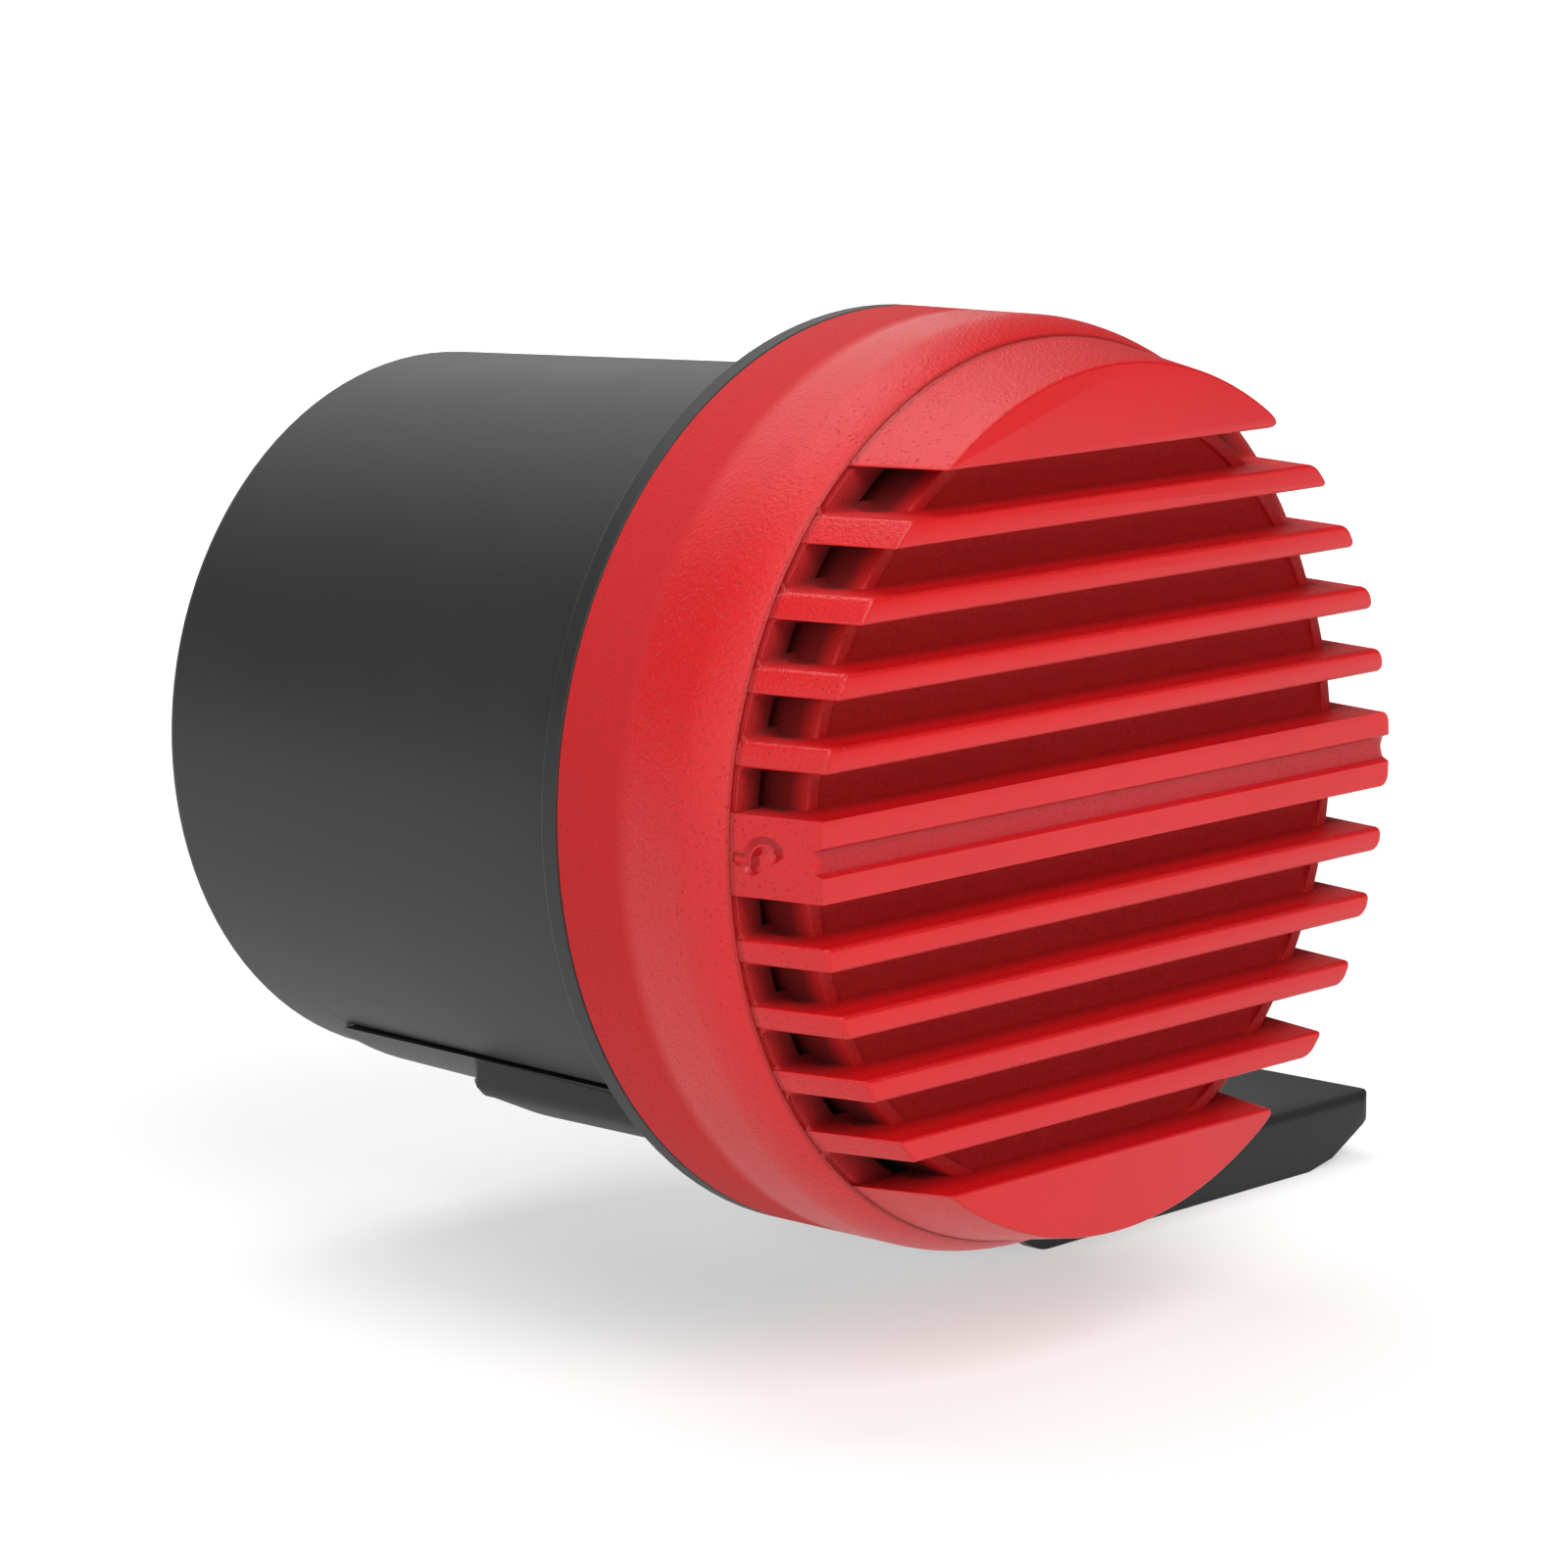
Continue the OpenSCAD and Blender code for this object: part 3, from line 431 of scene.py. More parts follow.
# finishes of the small and the inner parts: colour, second colour, roughness, metallic,
# grain per mm and its depth in mm
plainLooks = {
    "foam": ((0.03, 0.03, 0.03, 1), (0.05, 0.05, 0.05, 1), 0.9, 0, 2.5, 0.08),
    "frame_plastic": ((0.03, 0.03, 0.031, 1), (0.04, 0.04, 0.042, 1), 0.55, 0, 4.0, 0.01),
    "rubber": ((0.02, 0.02, 0.02, 1), (0.032, 0.032, 0.032, 1), 0.75, 0, 3.0, 0.02),
    "cone_film": ((0.05, 0.05, 0.055, 1), (0.07, 0.07, 0.075, 1), 0.35, 0, 1.2, 0.01),
    "ferrite": ((0.08, 0.08, 0.085, 1), (0.11, 0.11, 0.11, 1), 0.6, 0.2, 3.0, 0.02),
    "phenolic": ((0.2, 0.09, 0.03, 1), (0.26, 0.13, 0.05, 1), 0.5, 0, 1.5, 0.02),
    "capacitor_sleeve": ((0.02, 0.025, 0.05, 1), (0.03, 0.035, 0.06, 1), 0.3, 0, 1.0, 0.01),
    "package_black": ((0.025, 0.025, 0.027, 1), (0.04, 0.04, 0.04, 1), 0.5, 0, 5.0, 0.01),
    "resistor_body": ((0.6, 0.48, 0.3, 1), (0.52, 0.4, 0.24, 1), 0.35, 0, 1.0, 0.01),
    "lead_insulation": ((0.3, 0.02, 0.02, 1), (0.36, 0.03, 0.03, 1), 0.4, 0, 1.0, 0.005),
    "board_green": ((0.015, 0.11, 0.05, 1), (0.02, 0.15, 0.07, 1), 0.3, 0, 0.5, 0.01),
    "plated_steel": ((0.5, 0.51, 0.52, 1), (0.42, 0.43, 0.44, 1), 0.35, 1, 2.0, 0.004),
    "zinc_steel": ((0.62, 0.63, 0.64, 1), (0.5, 0.5, 0.5, 1), 0.32, 1, 1.6, 0.004),
}


plainSkin = {
    "grainsPerCloud": 20, "cloudRange": (0.3, 0.7), "cloudTone": 0.6, "grainTone": 0.4,
    "grainRoughness": 0.15, "cloudRoughness": 0.1, "meanRoughness": 0.12,
}


def plainFinish(slot):
    first, second, roughness, metallic, perMm, depthMm = plainLooks[slot]
    finish = Finish(slot.replace("_", " "), Metallic=metallic)
    skin = plainSkin
    grain = finish.noise(perMm, 3, 0.6)
    clouds = finish.noise(perMm / skin["grainsPerCloud"], 2, 0.5)
    tone = clouds.ramp(*skin["cloudRange"]) * skin["cloudTone"] + grain * skin["grainTone"]
    uneven = grain * skin["grainRoughness"] + clouds * skin["cloudRoughness"]
    return finish.drive(Base_Color=finish.blend(tone, first, second),
                        Roughness=uneven + (roughness - skin["meanRoughness"]),
                        Normal=finish.bump(grain, depthMm))


# gap is the painted shade of the openings between the threads
screenLook = {"colour": (0.04, 0.04, 0.042, 1), "gap": (0.004, 0.004, 0.004, 1), "roughness": 0.8,
              "threadsPerMm": 2.4, "threadMm": 0.08}


def wovenScreen(look):
    # two sets of threads that cross, with the openings between them painted near black as painted shade
    finish = Finish("woven screen", Roughness=look["roughness"])
    x, y, z = finish.split(finish.place)
    perMm = look["threadsPerMm"]
    threads = (x.wave(perMm) * 0.5 + 0.5).largest(z.wave(perMm) * 0.5 + 0.5)
    return finish.drive(Base_Color=finish.blend(threads, look["gap"], look["colour"]),
                        Normal=finish.bump(threads, look["threadMm"]))


clothLook = {"colour": (0.6, 0.42, 0.2, 1), "dark": (0.42, 0.28, 0.12, 1), "roughness": 0.8,
             "threadsPerMm": 2.0, "threadMm": 0.06}


def spiderCloth(look):
    finish = Finish("spider cloth", Roughness=look["roughness"])
    x, y, z = finish.split(finish.place)
    perMm = look["threadsPerMm"]
    weave = x.wave(perMm) * z.wave(perMm) * 0.5 + 0.5
    return finish.drive(Base_Color=finish.blend(weave, look["dark"], look["colour"]),
                        Normal=finish.bump(weave, look["threadMm"]))


windingLook = {"colour": (0.72, 0.35, 0.16, 1), "dark": (0.35, 0.14, 0.05, 1), "metallic": 0.9,
               "roughness": 0.3, "wiresPerMm": 3.2, "wireMm": 0.05}


def copperWinding(look):
    finish = Finish("copper winding", Metallic=look["metallic"], Roughness=look["roughness"])
    x, y, z = finish.split(finish.place)
    wires = y.wave(look["wiresPerMm"]) * 0.5 + 0.5
    return finish.drive(Base_Color=finish.blend(wires, look["dark"], look["colour"]),
                        Normal=finish.bump(wires, look["wireMm"]))


red = redMoulding(redLook)
finishes = {slot: plainFinish(slot) for slot in plainLooks}
finishes["red_plastic"] = red
finishes["housing_black"] = blackMoulding("black housing moulding", blackLook)
finishes["bracket_black"] = blackMoulding("black bracket moulding", bracketLook)
finishes["screen_mesh"] = wovenScreen(screenLook)
finishes["spider_cloth"] = spiderCloth(clothLook)
finishes["copper"] = copperWinding(windingLook)
for part in frame["record"]["subparts"]:
    for slot in nodes[part["node"]].material_slots:
        slot.material = finishes[part["material_slot"]]
print("finishes made:", len(finishes))


# grille cap: a ring, a baffle disc, eight narrow bars, the grooved bar and two solid segments

cap = {
    "frontRadius": 35.0, "creaseRadius": 36.5, "creaseDepth": 7.85, "creaseNotch": 0.32,
    "rimRadius": 38.1, "depth": 25.25, "shoulderRound": 7.7, "shoulderSegments": 16, "cornerDepth": 10.16,
    "innerRadius": 35.6, "ledgeBack": 9.85, "ledgeRadius": 33.6, "ringSteps": 256,
    "baffleDepth": 4.4, "baffleBack": 6.6, "baffleRadius": 32.4, "ringInner": 31.2, "ringFront": 4.0,
    "barHeight": 2.0, "slotHeight": 3.42, "barsEachSide": 4, "barBack": 8.15,
    "barRound": 0.38, "barSegments": 4, "farRound": 0.92, "farSegments": 5,
    "rootFillet": 0.6, "rootCuts": (0, 0.35, 0.6, 0.8, 0.93, 1),
    "segmentSteps": 64, "tipRound": 2.0, "tipClear": 2.4,
}

wideBar = {
    "height": 6.35, "grooveHalf": 1.15, "grooveDepth": 0.45, "grooveSlope": 0.3,
    "lipRound": 0.1, "floorRound": 0.14, "grooveSegments": 3, "floorFrom": 0.2, "floorTo": 0.6,
    "notchReach": 1.1, "notchDepth": 0.6, "notchCuts": (0.3, 0.6, 1),
    "cuts": (-2.4, -1.6, -0.8, 0, 0.8, 1.6, 2.4), "sharpFrom": 52, "beyondGroove": 1.5, "endZone": 1,
}


def coneRadius(depth):
    return cap["frontRadius"] + (cap["creaseRadius"] - cap["frontRadius"]) * depth / cap["creaseDepth"]


def shoulderRing():
    back, inner, notch = cap["depth"], cap["innerRadius"], cap["creaseNotch"]
    return spunSolid([
        (cap["ledgeRadius"], cap["ledgeBack"], 0.15), (cap["ledgeRadius"], cap["creaseDepth"], 0.2),
        (cap["creaseRadius"] - notch, cap["creaseDepth"], 0.1),
        (cap["creaseRadius"] - notch, cap["barBack"], 0.05),
        (cap["creaseRadius"] + notch / 3, cap["barBack"] - 0.1, 0.08),
        (cap["rimRadius"], cap["cornerDepth"], cap["shoulderRound"], cap["shoulderSegments"]),
        (cap["rimRadius"], back, 0.25), (inner, back, 0.2), (inner, cap["ledgeBack"], 0.3),
    ], steps=cap["ringSteps"])


def baffle():
    return spunSolid([
        (0, cap["baffleDepth"], 0), (cap["ringInner"], cap["baffleDepth"], 0.2),
        (cap["ringInner"], cap["ringFront"], 0.12), (cap["baffleRadius"], cap["ringFront"], 0.25),
        (cap["baffleRadius"], cap["ledgeBack"], 0.15), (cap["ringInner"], cap["ledgeBack"], 0.15),
        (cap["ringInner"], cap["baffleBack"], 0.2), (0, cap["baffleBack"], 0),
    ])


def drawBack(bm):
    # the front outline goes back to the depth where the bars run into the ring
    pullOut(bm, bm.faces[:], (0, cap["barBack"], 0))


def roundFront(bm, cornerHeights, farRound):
    # the corners on the far side are rounder, then the front edges and the near corners
    def corners(side):
        return [e for e in bm.edges if abs(e.verts[0].co.y - e.verts[1].co.y) > 1
                and e.verts[0].co.x * side > 0 and any(same(e.verts[0].co.z, h) for h in cornerHeights)]

    softenEdges(bm, corners(1), farRound, cap["farSegments"])
    front = [e for e in bm.edges if all(same(v.co.y, 0) for v in e.verts)]
    softenEdges(bm, front + corners(-1), cap["barRound"], cap["barSegments"])


def flareRoot(bm, low, high):
    # a fillet along top and bottom where a bar runs into the ring
    size = cap["rootFillet"]
    start = cap["creaseDepth"] - size
    for share in cap["rootCuts"]:
        cutThrough(bm, (0, start + share * size, 0), (0, 1, 0))
    for v in bm.verts:
        along = min(1, max(0, (v.co.y - start) / size))
        spread = size * (1 - math.sqrt(1 - along * along))
        if same(v.co.z, high):
            v.co.z += spread
        elif same(v.co.z, low):
            v.co.z -= spread


def narrowBar(low, high):
    bm = bmesh.new()
    ends = [(math.sqrt(cap["frontRadius"] ** 2 - z * z), z) for z in (low, high)]
    bm.faces.new([bm.verts.new((x, 0, z)) for x, z in (
        (ends[0][0], low), (ends[1][0], high), (-ends[1][0], high), (-ends[0][0], low))])
    drawBack(bm)
    roundFront(bm, (low, high), cap["farRound"])
    flareRoot(bm, low, high)
    for v in bm.verts:
        z = min(high, max(low, v.co.z))
        v.co.x *= math.sqrt((coneRadius(v.co.y) ** 2 - z * z) / (cap["frontRadius"] ** 2 - z * z))
    return bm


def solidSegment(low):
    # the flat-faced piece beyond the outermost slot: a chord below, an arc above
    bm = bmesh.new()
    radius = cap["frontRadius"]
    half = math.sqrt(radius ** 2 - low * low)
    start = bm.verts.new((half, 0, low))
    sweep = math.pi - 2 * math.asin(low / radius)
    bmesh.ops.spin(bm, geom=[start], cent=(0, 0, 0), axis=(0, -1, 0), dvec=(0, 0, 0), angle=sweep,
                   steps=cap["segmentSteps"], use_merge=False, use_duplicate=False)
    # no arc points near the far tip, where its rounding goes
    tip = Vector((half, 0, low))
    crowd = [v for v in bm.verts if 0.01 < (v.co - tip).length < cap["tipClear"]]
    bmesh.ops.delete(bm, geom=crowd, context="VERTS")
    bm.faces.new(sorted(bm.verts, key=lambda v: math.atan2(v.co.z, v.co.x)))
    drawBack(bm)
    roundFront(bm, (low,), cap["tipRound"])
    for v in bm.verts:
        wide, z = coneRadius(v.co.y), v.co.z
        raised = low + (z - low) * (wide - low) / (radius - low)
        v.co.x *= math.sqrt((wide - low) * (wide + raised) / ((radius - low) * (radius + z)))
        v.co.z = raised
    return bm


def wideSection(bm):
    # the section of depth and height, stood up at the near end
    half, groove, slope = wideBar["height"] / 2, wideBar["grooveHalf"], wideBar["grooveSlope"]
    depth, arc = wideBar["grooveDepth"], wideBar["grooveSegments"]
    lip, floor = wideBar["lipRound"], wideBar["floorRound"]
    roundedOutline(bm, [
        (0, -half, 0), (cap["barBack"], -half, 0), (cap["barBack"], half, 0), (0, half, 0),
        (0, groove, lip, arc), (depth, groove - slope, floor, arc),
        (depth, slope - groove, floor, arc), (0, -groove, lip, arc),
    ])
    bmesh.ops.transform(bm, verts=bm.verts[:], matrix=Matrix(
        ((0, 0, 1, -cap["frontRadius"]), (1, 0, 0, 0), (0, 1, 0, 0), (0, 0, 0, 1))))


def groovedBar():
    # the section pulled out sideways, rounded, and bent to the cone at both ends
    half, groove, radius = wideBar["height"] / 2, wideBar["grooveHalf"], cap["frontRadius"]
    bm = bmesh.new()
    wideSection(bm)
    pullOut(bm, bm.faces[:], (2 * radius, 0, 0))
    far = [e for e in bm.edges if all(same(v.co.x, radius) and same(abs(v.co.z), half) for v in e.verts)]
    softenEdges(bm, far, cap["farRound"], cap["farSegments"])

    def atEnd(edge):
        return all(same(abs(v.co.x), radius) for v in edge.verts)

    def outsideGroove(edge):
        return abs(sum(v.co.z for v in edge.verts)) / 2 > wideBar["beyondGroove"]

    sharp = set(sharpEdges(bm, wideBar["sharpFrom"]))
    outer = [e for e in bm.edges if max(v.co.y for v in e.verts) < cap["barBack"] - 0.1
             and (atEnd(e) or outsideGroove(e) and e in sharp)]
    softenEdges(bm, outer, cap["barRound"], cap["barSegments"])
    for height in wideBar["cuts"]:
        cutThrough(bm, (0, 0, height), (0, 0, 1))
    # the groove runs deeper at both of its ends
    reach = wideBar["notchReach"]
    for share in wideBar["notchCuts"]:
        for side in (-1, 1):
            cutThrough(bm, (side * (radius - share * reach), 0, 0), (1, 0, 0))
    for v in bm.verts:
        inset = radius - abs(v.co.x)
        onFloor = wideBar["floorFrom"] < v.co.y < wideBar["floorTo"] and abs(v.co.z) < groove
        if inset < reach and onFloor:
            v.co.y += wideBar["notchDepth"] * (1 - inset / reach) ** 2 * (1 - (v.co.z / groove) ** 2)
    for v in bm.verts:
        inset = radius - abs(v.co.x)
        if inset < wideBar["endZone"]:
            onCone = math.sqrt(coneRadius(v.co.y) ** 2 - v.co.z ** 2)
            v.co.x = math.copysign(onCone - inset, v.co.x)
    return bm


def grilleCap():
    parts = [shoulderRing(), baffle(), groovedBar()]
    pitch = cap["barHeight"] + cap["slotHeight"]
    first = wideBar["height"] / 2 + cap["slotHeight"]
    for i in range(cap["barsEachSide"]):
        low = first + i * pitch
        parts.append(narrowBar(low, low + cap["barHeight"]))
        parts.append(narrowBar(-low - cap["barHeight"], -low))
    top = first + cap["barsEachSide"] * pitch
    lower = solidSegment(top)
    bmesh.ops.scale(lower, vec=(1, 1, -1), verts=lower.verts[:])
    bmesh.ops.recalc_face_normals(lower, faces=lower.faces[:])
    parts += [solidSegment(top), lower]
    settle(joined(parts), "grilleCap", red, "red_plastic", "grille_cap")


grilleCap()


# housing and bracket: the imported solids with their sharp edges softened

housing = {"lipRadius": 37.6, "lipSoft": 0.13, "sharpFrom": 29, "levelWithin": 0.01}
bracket = {"soft": 0.3, "saddleSoft": 0.95, "saddleSegments": 5, "sharpFrom": 35, "footLeft": 14,
           "footTop": -30, "facingDown": -0.5, "facingUp": 0.3}


def bodyShell():
    bm = nodeCopy("housing")
    rims = [e for e in sharpEdges(bm, housing["sharpFrom"])
            if min(math.hypot(v.co.x, v.co.z) for v in e.verts) > housing["lipRadius"]
            and abs(e.verts[0].co.y - e.verts[1].co.y) < housing["levelWithin"]]
    softenEdges(bm, rims, housing["lipSoft"])
    settle(bm, "bodyShell", finishes["housing_black"], "housing_black", "housing", turned=True)


def bracketBody():
    # the lower edges of the saddle are rounded most, then the edges of the foot and the ear
    bm = nodeCopy("mounting_bracket")
    saddle = [e for e in sharpEdges(bm, bracket["sharpFrom"])
              if max(v.co.x for v in e.verts) < bracket["footLeft"]
              and min(f.normal.z for f in e.link_faces) < bracket["facingDown"]
              and max(f.normal.z for f in e.link_faces) < bracket["facingUp"]]
    softenEdges(bm, saddle, bracket["saddleSoft"], bracket["saddleSegments"], clamp=False)
    foot = [e for e in sharpEdges(bm, bracket["sharpFrom"])
            if min(v.co.x for v in e.verts) > bracket["footLeft"]
            and max(v.co.z for v in e.verts) < bracket["footTop"]]
    softenEdges(bm, foot, bracket["soft"])
    settle(bm, "bracketBody", finishes["bracket_black"], "bracket_black", "mounting_bracket", turned=True)


bodyShell()
bracketBody()


# terminals: threaded studs, flat and split washers, chamfered nuts

terminal = {
    "across": 17.5, "drop": 5.4, "rear": 79.8, "tip": 93.0, "tipChamfer": 0.6,
    "crest": 2.5, "pitch": 0.8, "threadDepth": 0.46, "crestFrom": 0.42, "crestTo": 0.58, "threadSteps": 28,
    "headFront": 74.3, "headRadius": 4.5, "headDepth": 2.0, "studSteps": 48,
    "nut": 3.2, "flats": 8.0, "faceShare": 0.97, "chamferRise": 0.5, "boreChamfer": 0.3, "roundSteps": 72,
    "washer": 1.0, "washerRadius": 5.0, "hole": 2.65,
    "lock": 1.1, "lockRadius": 4.2, "lockLead": 0.16, "lockRound": 0.1, "lockArc": 346, "lockSteps": 60,
    "lockTurn": 70,
}


def hexed(bm, flats, above, rise, middle):
    # turns the outermost ring of a spun solid into a hexagon, with its corners chamfered
    for v in bm.verts:
        if math.hypot(v.co.x, v.co.z) > above:
            angle = math.atan2(v.co.z, v.co.x)
            reach = hexagonRadius(flats, angle)
            v.co.x, v.co.z = reach * math.cos(angle), reach * math.sin(angle)
            chamfer = max(0, reach - above) * rise
            v.co.y += chamfer if v.co.y < middle else -chamfer


def studPlaces(start):
    return [Vector((side * terminal["across"], start, -terminal["drop"])) for side in (-1, 1)]


def threadedPart(start, end):
    # the V of one turn, spun with a lead, cut off square at both ends
    crest, pitch, steps = terminal["crest"], terminal["pitch"], terminal["threadSteps"]
    root = crest - terminal["threadDepth"]
    turns = math.ceil((end - start) / pitch) + 1
    bm = bmesh.new()
    profile = ((root, 0), (crest, terminal["crestFrom"]), (crest, terminal["crestTo"]), (root, 1))
    verts = [bm.verts.new((radius, start - pitch + share * pitch, 0)) for radius, share in profile]
    edges = [bm.edges.new(pair) for pair in zip(verts, verts[1:])]
    bmesh.ops.spin(bm, geom=verts + edges, cent=(0, 0, 0), axis=(0, 1, 0), dvec=(0, pitch / steps, 0),
                   angle=2 * math.pi * turns, steps=steps * turns, use_merge=False, use_duplicate=False)
    bmesh.ops.remove_doubles(bm, verts=bm.verts[:], dist=drawing["mergeCopy"])
    for height, facing in ((start, -1), (end, 1)):
        cutThrough(bm, (0, height, 0), (0, facing, 0), clearOuter=True)
    bmesh.ops.recalc_face_normals(bm, faces=bm.faces[:])
    return bm


def stud(name, node, place):
    t = terminal
    root = t["crest"] - t["threadDepth"]
    head = t["headFront"] + t["headDepth"]
    chamfer = t["tip"] - t["tipChamfer"]
    shank = spunSolid([
        (0, t["headFront"], 0), (t["headRadius"], t["headFront"], 0.3), (t["headRadius"], head, 0.2),
        (t["crest"], head, 0.1), (t["crest"], t["rear"], 0.1), (root, t["rear"], 0),
        (root + 0.03, chamfer, 0), (t["crest"] - 0.04, chamfer, 0.05),
        (root - 0.15, t["tip"], 0.12), (0, t["tip"], 0),
    ], steps=t["studSteps"])
    bm = joined([shank, threadedPart(t["rear"], chamfer)])
    bmesh.ops.translate(bm, vec=place, verts=bm.verts[:])
    settle(bm, name, finishes["zinc_steel"], "zinc_steel", node, sharp=28)


def nut(place):
    # the bore has a chamfer at each end; the outermost ring becomes the hexagon
    t = terminal
    face, bore, thick, inset = t["flats"] / 2 * t["faceShare"], t["crest"], t["nut"], t["boreChamfer"]
    mouth, outside = bore + inset + 0.05, t["flats"] / 2 + 0.2
    bm = spunSolid([
        (mouth, 0, 0), (bore, inset, 0.05), (bore, thick - inset, 0.05), (mouth, thick, 0),
        (face, thick, 0), (outside, thick, 0), (outside, 0, 0), (face, 0, 0),
    ], steps=t["roundSteps"])
    hexed(bm, t["flats"], face + 0.01, t["chamferRise"], thick / 2)
    bmesh.ops.translate(bm, vec=place, verts=bm.verts[:])
    return bm


def splitWasher(place):
    # a square section spun almost once round with a slight lead, both cut ends closed
    t = terminal
    bm = bmesh.new()
    inner, outer, thick, soft = t["hole"], t["lockRadius"], t["lock"] - t["lockLead"], t["lockRound"]
    roundedOutline(bm, [(inner, 0, soft), (outer, 0, soft), (outer, thick, soft), (inner, thick, soft)])
    bmesh.ops.delete(bm, geom=bm.faces[:], context="FACES_ONLY")
    bmesh.ops.spin(bm, geom=bm.verts[:] + bm.edges[:], cent=(0, 0, 0), axis=(0, 1, 0),
                   dvec=(0, t["lockLead"] / t["lockSteps"], 0), angle=math.radians(t["lockArc"]),
                   steps=t["lockSteps"], use_merge=False, use_duplicate=False)
    bmesh.ops.holes_fill(bm, edges=[e for e in bm.edges if e.is_boundary], sides=0)
    bmesh.ops.recalc_face_normals(bm, faces=bm.faces[:])
    turn = Matrix.Rotation(math.radians(t["lockTurn"]), 3, "Y")
    bmesh.ops.rotate(bm, verts=bm.verts[:], cent=(0, 0, 0), matrix=turn)
    bmesh.ops.translate(bm, vec=place, verts=bm.verts[:])
    return bm


def flatWasher(place):
    t = terminal
    return spunSolid([
        (t["hole"], 0, 0.08), (t["washerRadius"], 0, 0.12), (t["washerRadius"], t["washer"], 0.25),
        (t["hole"], t["washer"], 0.08),
    ], steps=t["roundSteps"], place=place)


def terminals():
    t = terminal
    clamp = t["rear"] + t["washer"]
    lock = clamp + t["nut"]
    cable = lock + t["lock"]
    for name, node, side in (("negativeStud", "negative_stud", 0), ("positiveStud", "positive_stud", 1)):
        stud(name, node, studPlaces(0)[side])
    for name, node, shape, start, sharp in (
            ("flatWashers", "terminal_washers", flatWasher, t["rear"], 32),
            ("clampNuts", "clamp_nuts", nut, clamp, 24),
            ("lockWashers", "lock_washers", splitWasher, lock, 32),
            ("cableNuts", "cable_nuts", nut, cable, 24)):
        pair = joined([shape(place) for place in studPlaces(start)])
        settle(pair, name, finishes["zinc_steel"], "zinc_steel", node, sharp=sharp)


terminals()


# bracket screws with hexagon sockets, and the bush in the ear's bolt hole

screw = {"headRadius": 3.8, "headDepth": 2.4, "shankRadius": 2.0, "domeDepth": 0.9, "domeRound": 0.5,
         "socket": 3.0, "socketDepth": 1.4, "socketRim": 0.5, "steps": 72}
bush = {"bore": 4.25, "soft": 0.35, "outerSoft": 0.15, "steps": 96}


def upright(bm, place):
    # turns a solid spun about the depth axis so that its depth points up
    bmesh.ops.rotate(bm, verts=bm.verts[:], cent=(0, 0, 0), matrix=Matrix.Rotation(math.pi / 2, 3, "X"))
    bmesh.ops.translate(bm, vec=place, verts=bm.verts[:])
    return bm


def inPart(point):
    return (point - axisPoint) * mmPerMetre


def bracketScrews():
    # the socket is spun round, then its wall is moved to the six flats
    low, high = (inPart(corner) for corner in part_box("bracket_screws"))
    reach, depth, shank = screw["headRadius"], screw["headDepth"], screw["shankRadius"]
    tall, hollow = high.z - low.z, screw["socket"] / 2 + 0.1
    parts = []
    for y in (low.y + reach, high.y - reach):
        bm = spunSolid([
            (0, screw["socketDepth"], 0), (hollow, screw["socketDepth"], 0), (hollow, 0, 0),
            (hollow + screw["socketRim"], 0, 0.2), (reach, screw["domeDepth"], screw["domeRound"]),
            (reach, depth, 0.15), (shank, depth, 0.1), (shank, tall, 0.2), (0, tall, 0),
        ], steps=screw["steps"])
        for v in bm.verts:
            if same(math.hypot(v.co.x, v.co.z), hollow):
                angle = math.atan2(v.co.z, v.co.x)
                wide = hexagonRadius(screw["socket"], angle)
                v.co.x, v.co.z = wide * math.cos(angle), wide * math.sin(angle)
        parts.append(upright(bm, Vector(((low.x + high.x) / 2, y, low.z))))
    settle(joined(parts), "bracketScrews", finishes["zinc_steel"], "zinc_steel", "bracket_screws")


def mountBush():
    low, high = (inPart(corner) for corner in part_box("mount_bush"))
    outer, inner, tall = (high.x - low.x) / 2, bush["bore"], high.z - low.z
    bm = spunSolid([(inner, 0, bush["soft"]), (outer, 0, bush["outerSoft"]),
                    (outer, tall, bush["outerSoft"]), (inner, tall, bush["soft"])], steps=bush["steps"])
    settle(upright(bm, Vector(((low.x + high.x) / 2, (low.y + high.y) / 2, low.z))),
           "mountBush", finishes["zinc_steel"], "zinc_steel", "mount_bush")


bracketScrews()
mountBush()


# floor, light and camera

# the floor glows for the camera, less near the part, so that only its shadow shows; for
# everything else it gives a weaker, even bounce
stage = {"floorSize": 6.0, "floorColour": (0.5, 0.5, 0.5, 1), "floorRoughness": 0.9, "glow": 0.52,
         "bounce": 0.43, "nearReach": 0.14, "farReach": 0.7, "worldLight": 0.16, "worldSeen": 1.0,
         "aimDepth": 0.03}


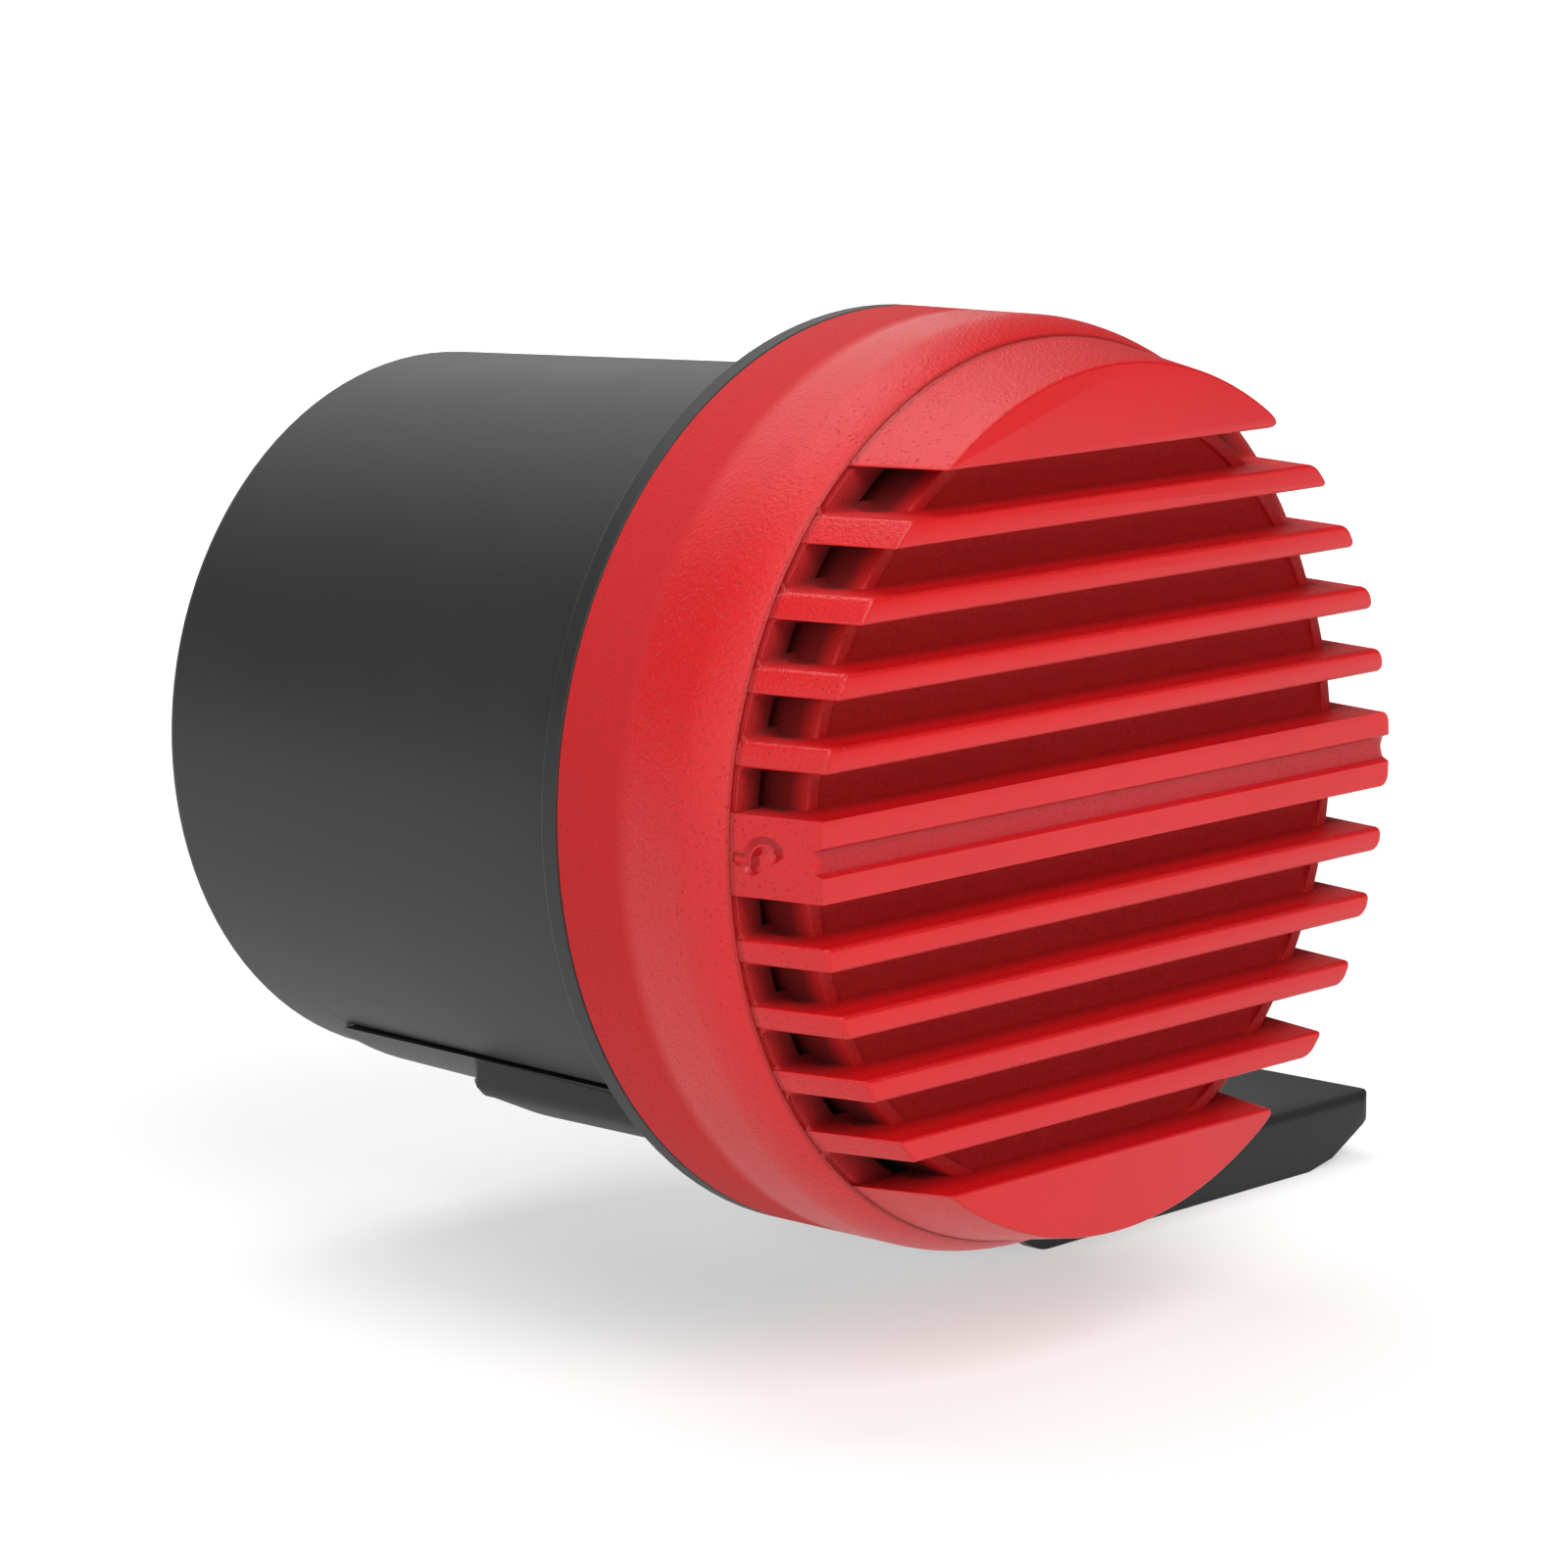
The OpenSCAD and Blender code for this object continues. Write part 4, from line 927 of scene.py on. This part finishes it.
def whiteFloor(look):
    bm = bmesh.new()
    bmesh.ops.create_grid(bm, x_segments=1, y_segments=1, size=look["floorSize"])
    mesh = bpy.data.meshes.new("floor")
    bm.to_mesh(mesh)
    bm.free()
    floor = bpy.data.objects.new("floor", mesh)
    bpy.context.scene.collection.objects.link(floor)
    finish = Finish("white floor", Base_Color=look["floorColour"], Roughness=look["floorRoughness"],
                    Specular_IOR_Level=0.0)
    tree = finish.tree
    x, y, z = finish.split(finish.place)
    away = ((x - axisPoint.x) ** 2 + (y - axisPoint.y) ** 2) ** 0.5
    far = away.ramp(look["nearReach"], look["farReach"])
    seen = finish.add("ShaderNodeLightPath", {}, {}, "Is Camera Ray")
    for kind in ("Is Glossy Ray", "Is Transmission Ray"):
        seen = seen.largest(finish.add("ShaderNodeLightPath", {}, {}, kind))
    glow = finish.add("ShaderNodeEmission", {}, {
        "Color": (1, 1, 1, 1),
        "Strength": seen * (far * (1 - look["glow"]) + (look["glow"] - look["bounce"])) + look["bounce"]})
    both = finish.add("ShaderNodeAddShader", {}, {0: Value(finish, finish.shader.outputs[0]), 1: glow})
    tree.links.new(both.socket, tree.nodes["Material Output"].inputs["Surface"])
    mesh.materials.append(finish.material)


def whiteWorld(look):
    # white where the camera sees it, and a weak light for the rest
    world = bpy.data.worlds.new("white surroundings")
    bpy.context.scene.world = world
    world.use_nodes = True
    tree = world.node_tree
    background = tree.nodes["Background"]
    background.inputs["Color"].default_value = (1, 1, 1, 1)
    path = tree.nodes.new("ShaderNodeLightPath")
    seen = tree.nodes.new("ShaderNodeMath")
    seen.operation = "MAXIMUM"
    tree.links.new(path.outputs["Is Camera Ray"], seen.inputs[0])
    tree.links.new(path.outputs["Is Transmission Ray"], seen.inputs[1])
    strength = tree.nodes.new("ShaderNodeMapRange")
    tree.links.new(seen.outputs[0], strength.inputs["Value"])
    strength.inputs["To Min"].default_value = look["worldLight"]
    strength.inputs["To Max"].default_value = look["worldSeen"]
    tree.links.new(strength.outputs[0], background.inputs["Strength"])


lamps = {
    "keyBox": {"at": (-0.42, -0.8, 0.85), "size": (0.8, 0.8), "watts": 11.5},
    "leftBox": {"at": (-1.2, 0.02, 0.42), "size": (0.8, 0.6), "watts": 2.7},
    "sideBox": {"at": (-1.05, -0.6, 0.18), "size": (0.3, 0.5), "watts": 2.0},
    "topBox": {"at": (0.0, 0.3, 1.15), "size": (0.8, 0.8), "watts": 7.6},
    "backBox": {"at": (0.35, 1.0, 0.55), "size": (1.2, 0.6), "watts": 3.0},
}


def softLamp(name, look):
    lamp = bpy.data.lights.new(name, "AREA")
    lamp.shape = "RECTANGLE"
    lamp.size, lamp.size_y = look["size"]
    lamp.energy = look["watts"]
    holder = bpy.data.objects.new(name, lamp)
    bpy.context.scene.collection.objects.link(holder)
    holder.location = look["at"]
    aim = axisPoint + Vector((0, stage["aimDepth"], 0)) - Vector(look["at"])
    holder.rotation_euler = aim.to_track_quat("-Z", "Y").to_euler()
    holder.visible_camera = False


# the camera was fitted to the photograph: metres, degrees and mm
view = {"eye": (-0.37269, -0.31052, 0.12122), "target": (-0.0865, -0.039825, 0.052636),
        "roll": -0.436, "lens": 124.02, "sensor": 36, "nearest": 0.01}


def photoCamera(look):
    data = bpy.data.cameras.new("camera")
    data.sensor_fit = "HORIZONTAL"
    data.sensor_width = look["sensor"]
    data.lens = look["lens"]
    data.clip_start = look["nearest"]
    camera = bpy.data.objects.new("camera", data)
    bpy.context.scene.collection.objects.link(camera)
    eye = Vector(look["eye"])
    ahead = (Vector(look["target"]) - eye).normalized()
    right = ahead.cross(Vector((0, 0, 1))).normalized()
    up = right.cross(ahead)
    roll = math.radians(look["roll"])
    tilted = right * math.cos(roll) + up * math.sin(roll)
    turned = Matrix((tilted, tilted.cross(ahead), -ahead)).transposed().to_4x4()
    camera.matrix_world = Matrix.Translation(eye) @ turned
    bpy.context.scene.camera = camera


whiteFloor(stage)
whiteWorld(stage)
for name, look in lamps.items():
    softLamp(name, look)
photoCamera(view)
bpy.context.scene.view_settings.view_transform = "Standard"
print("stage set")
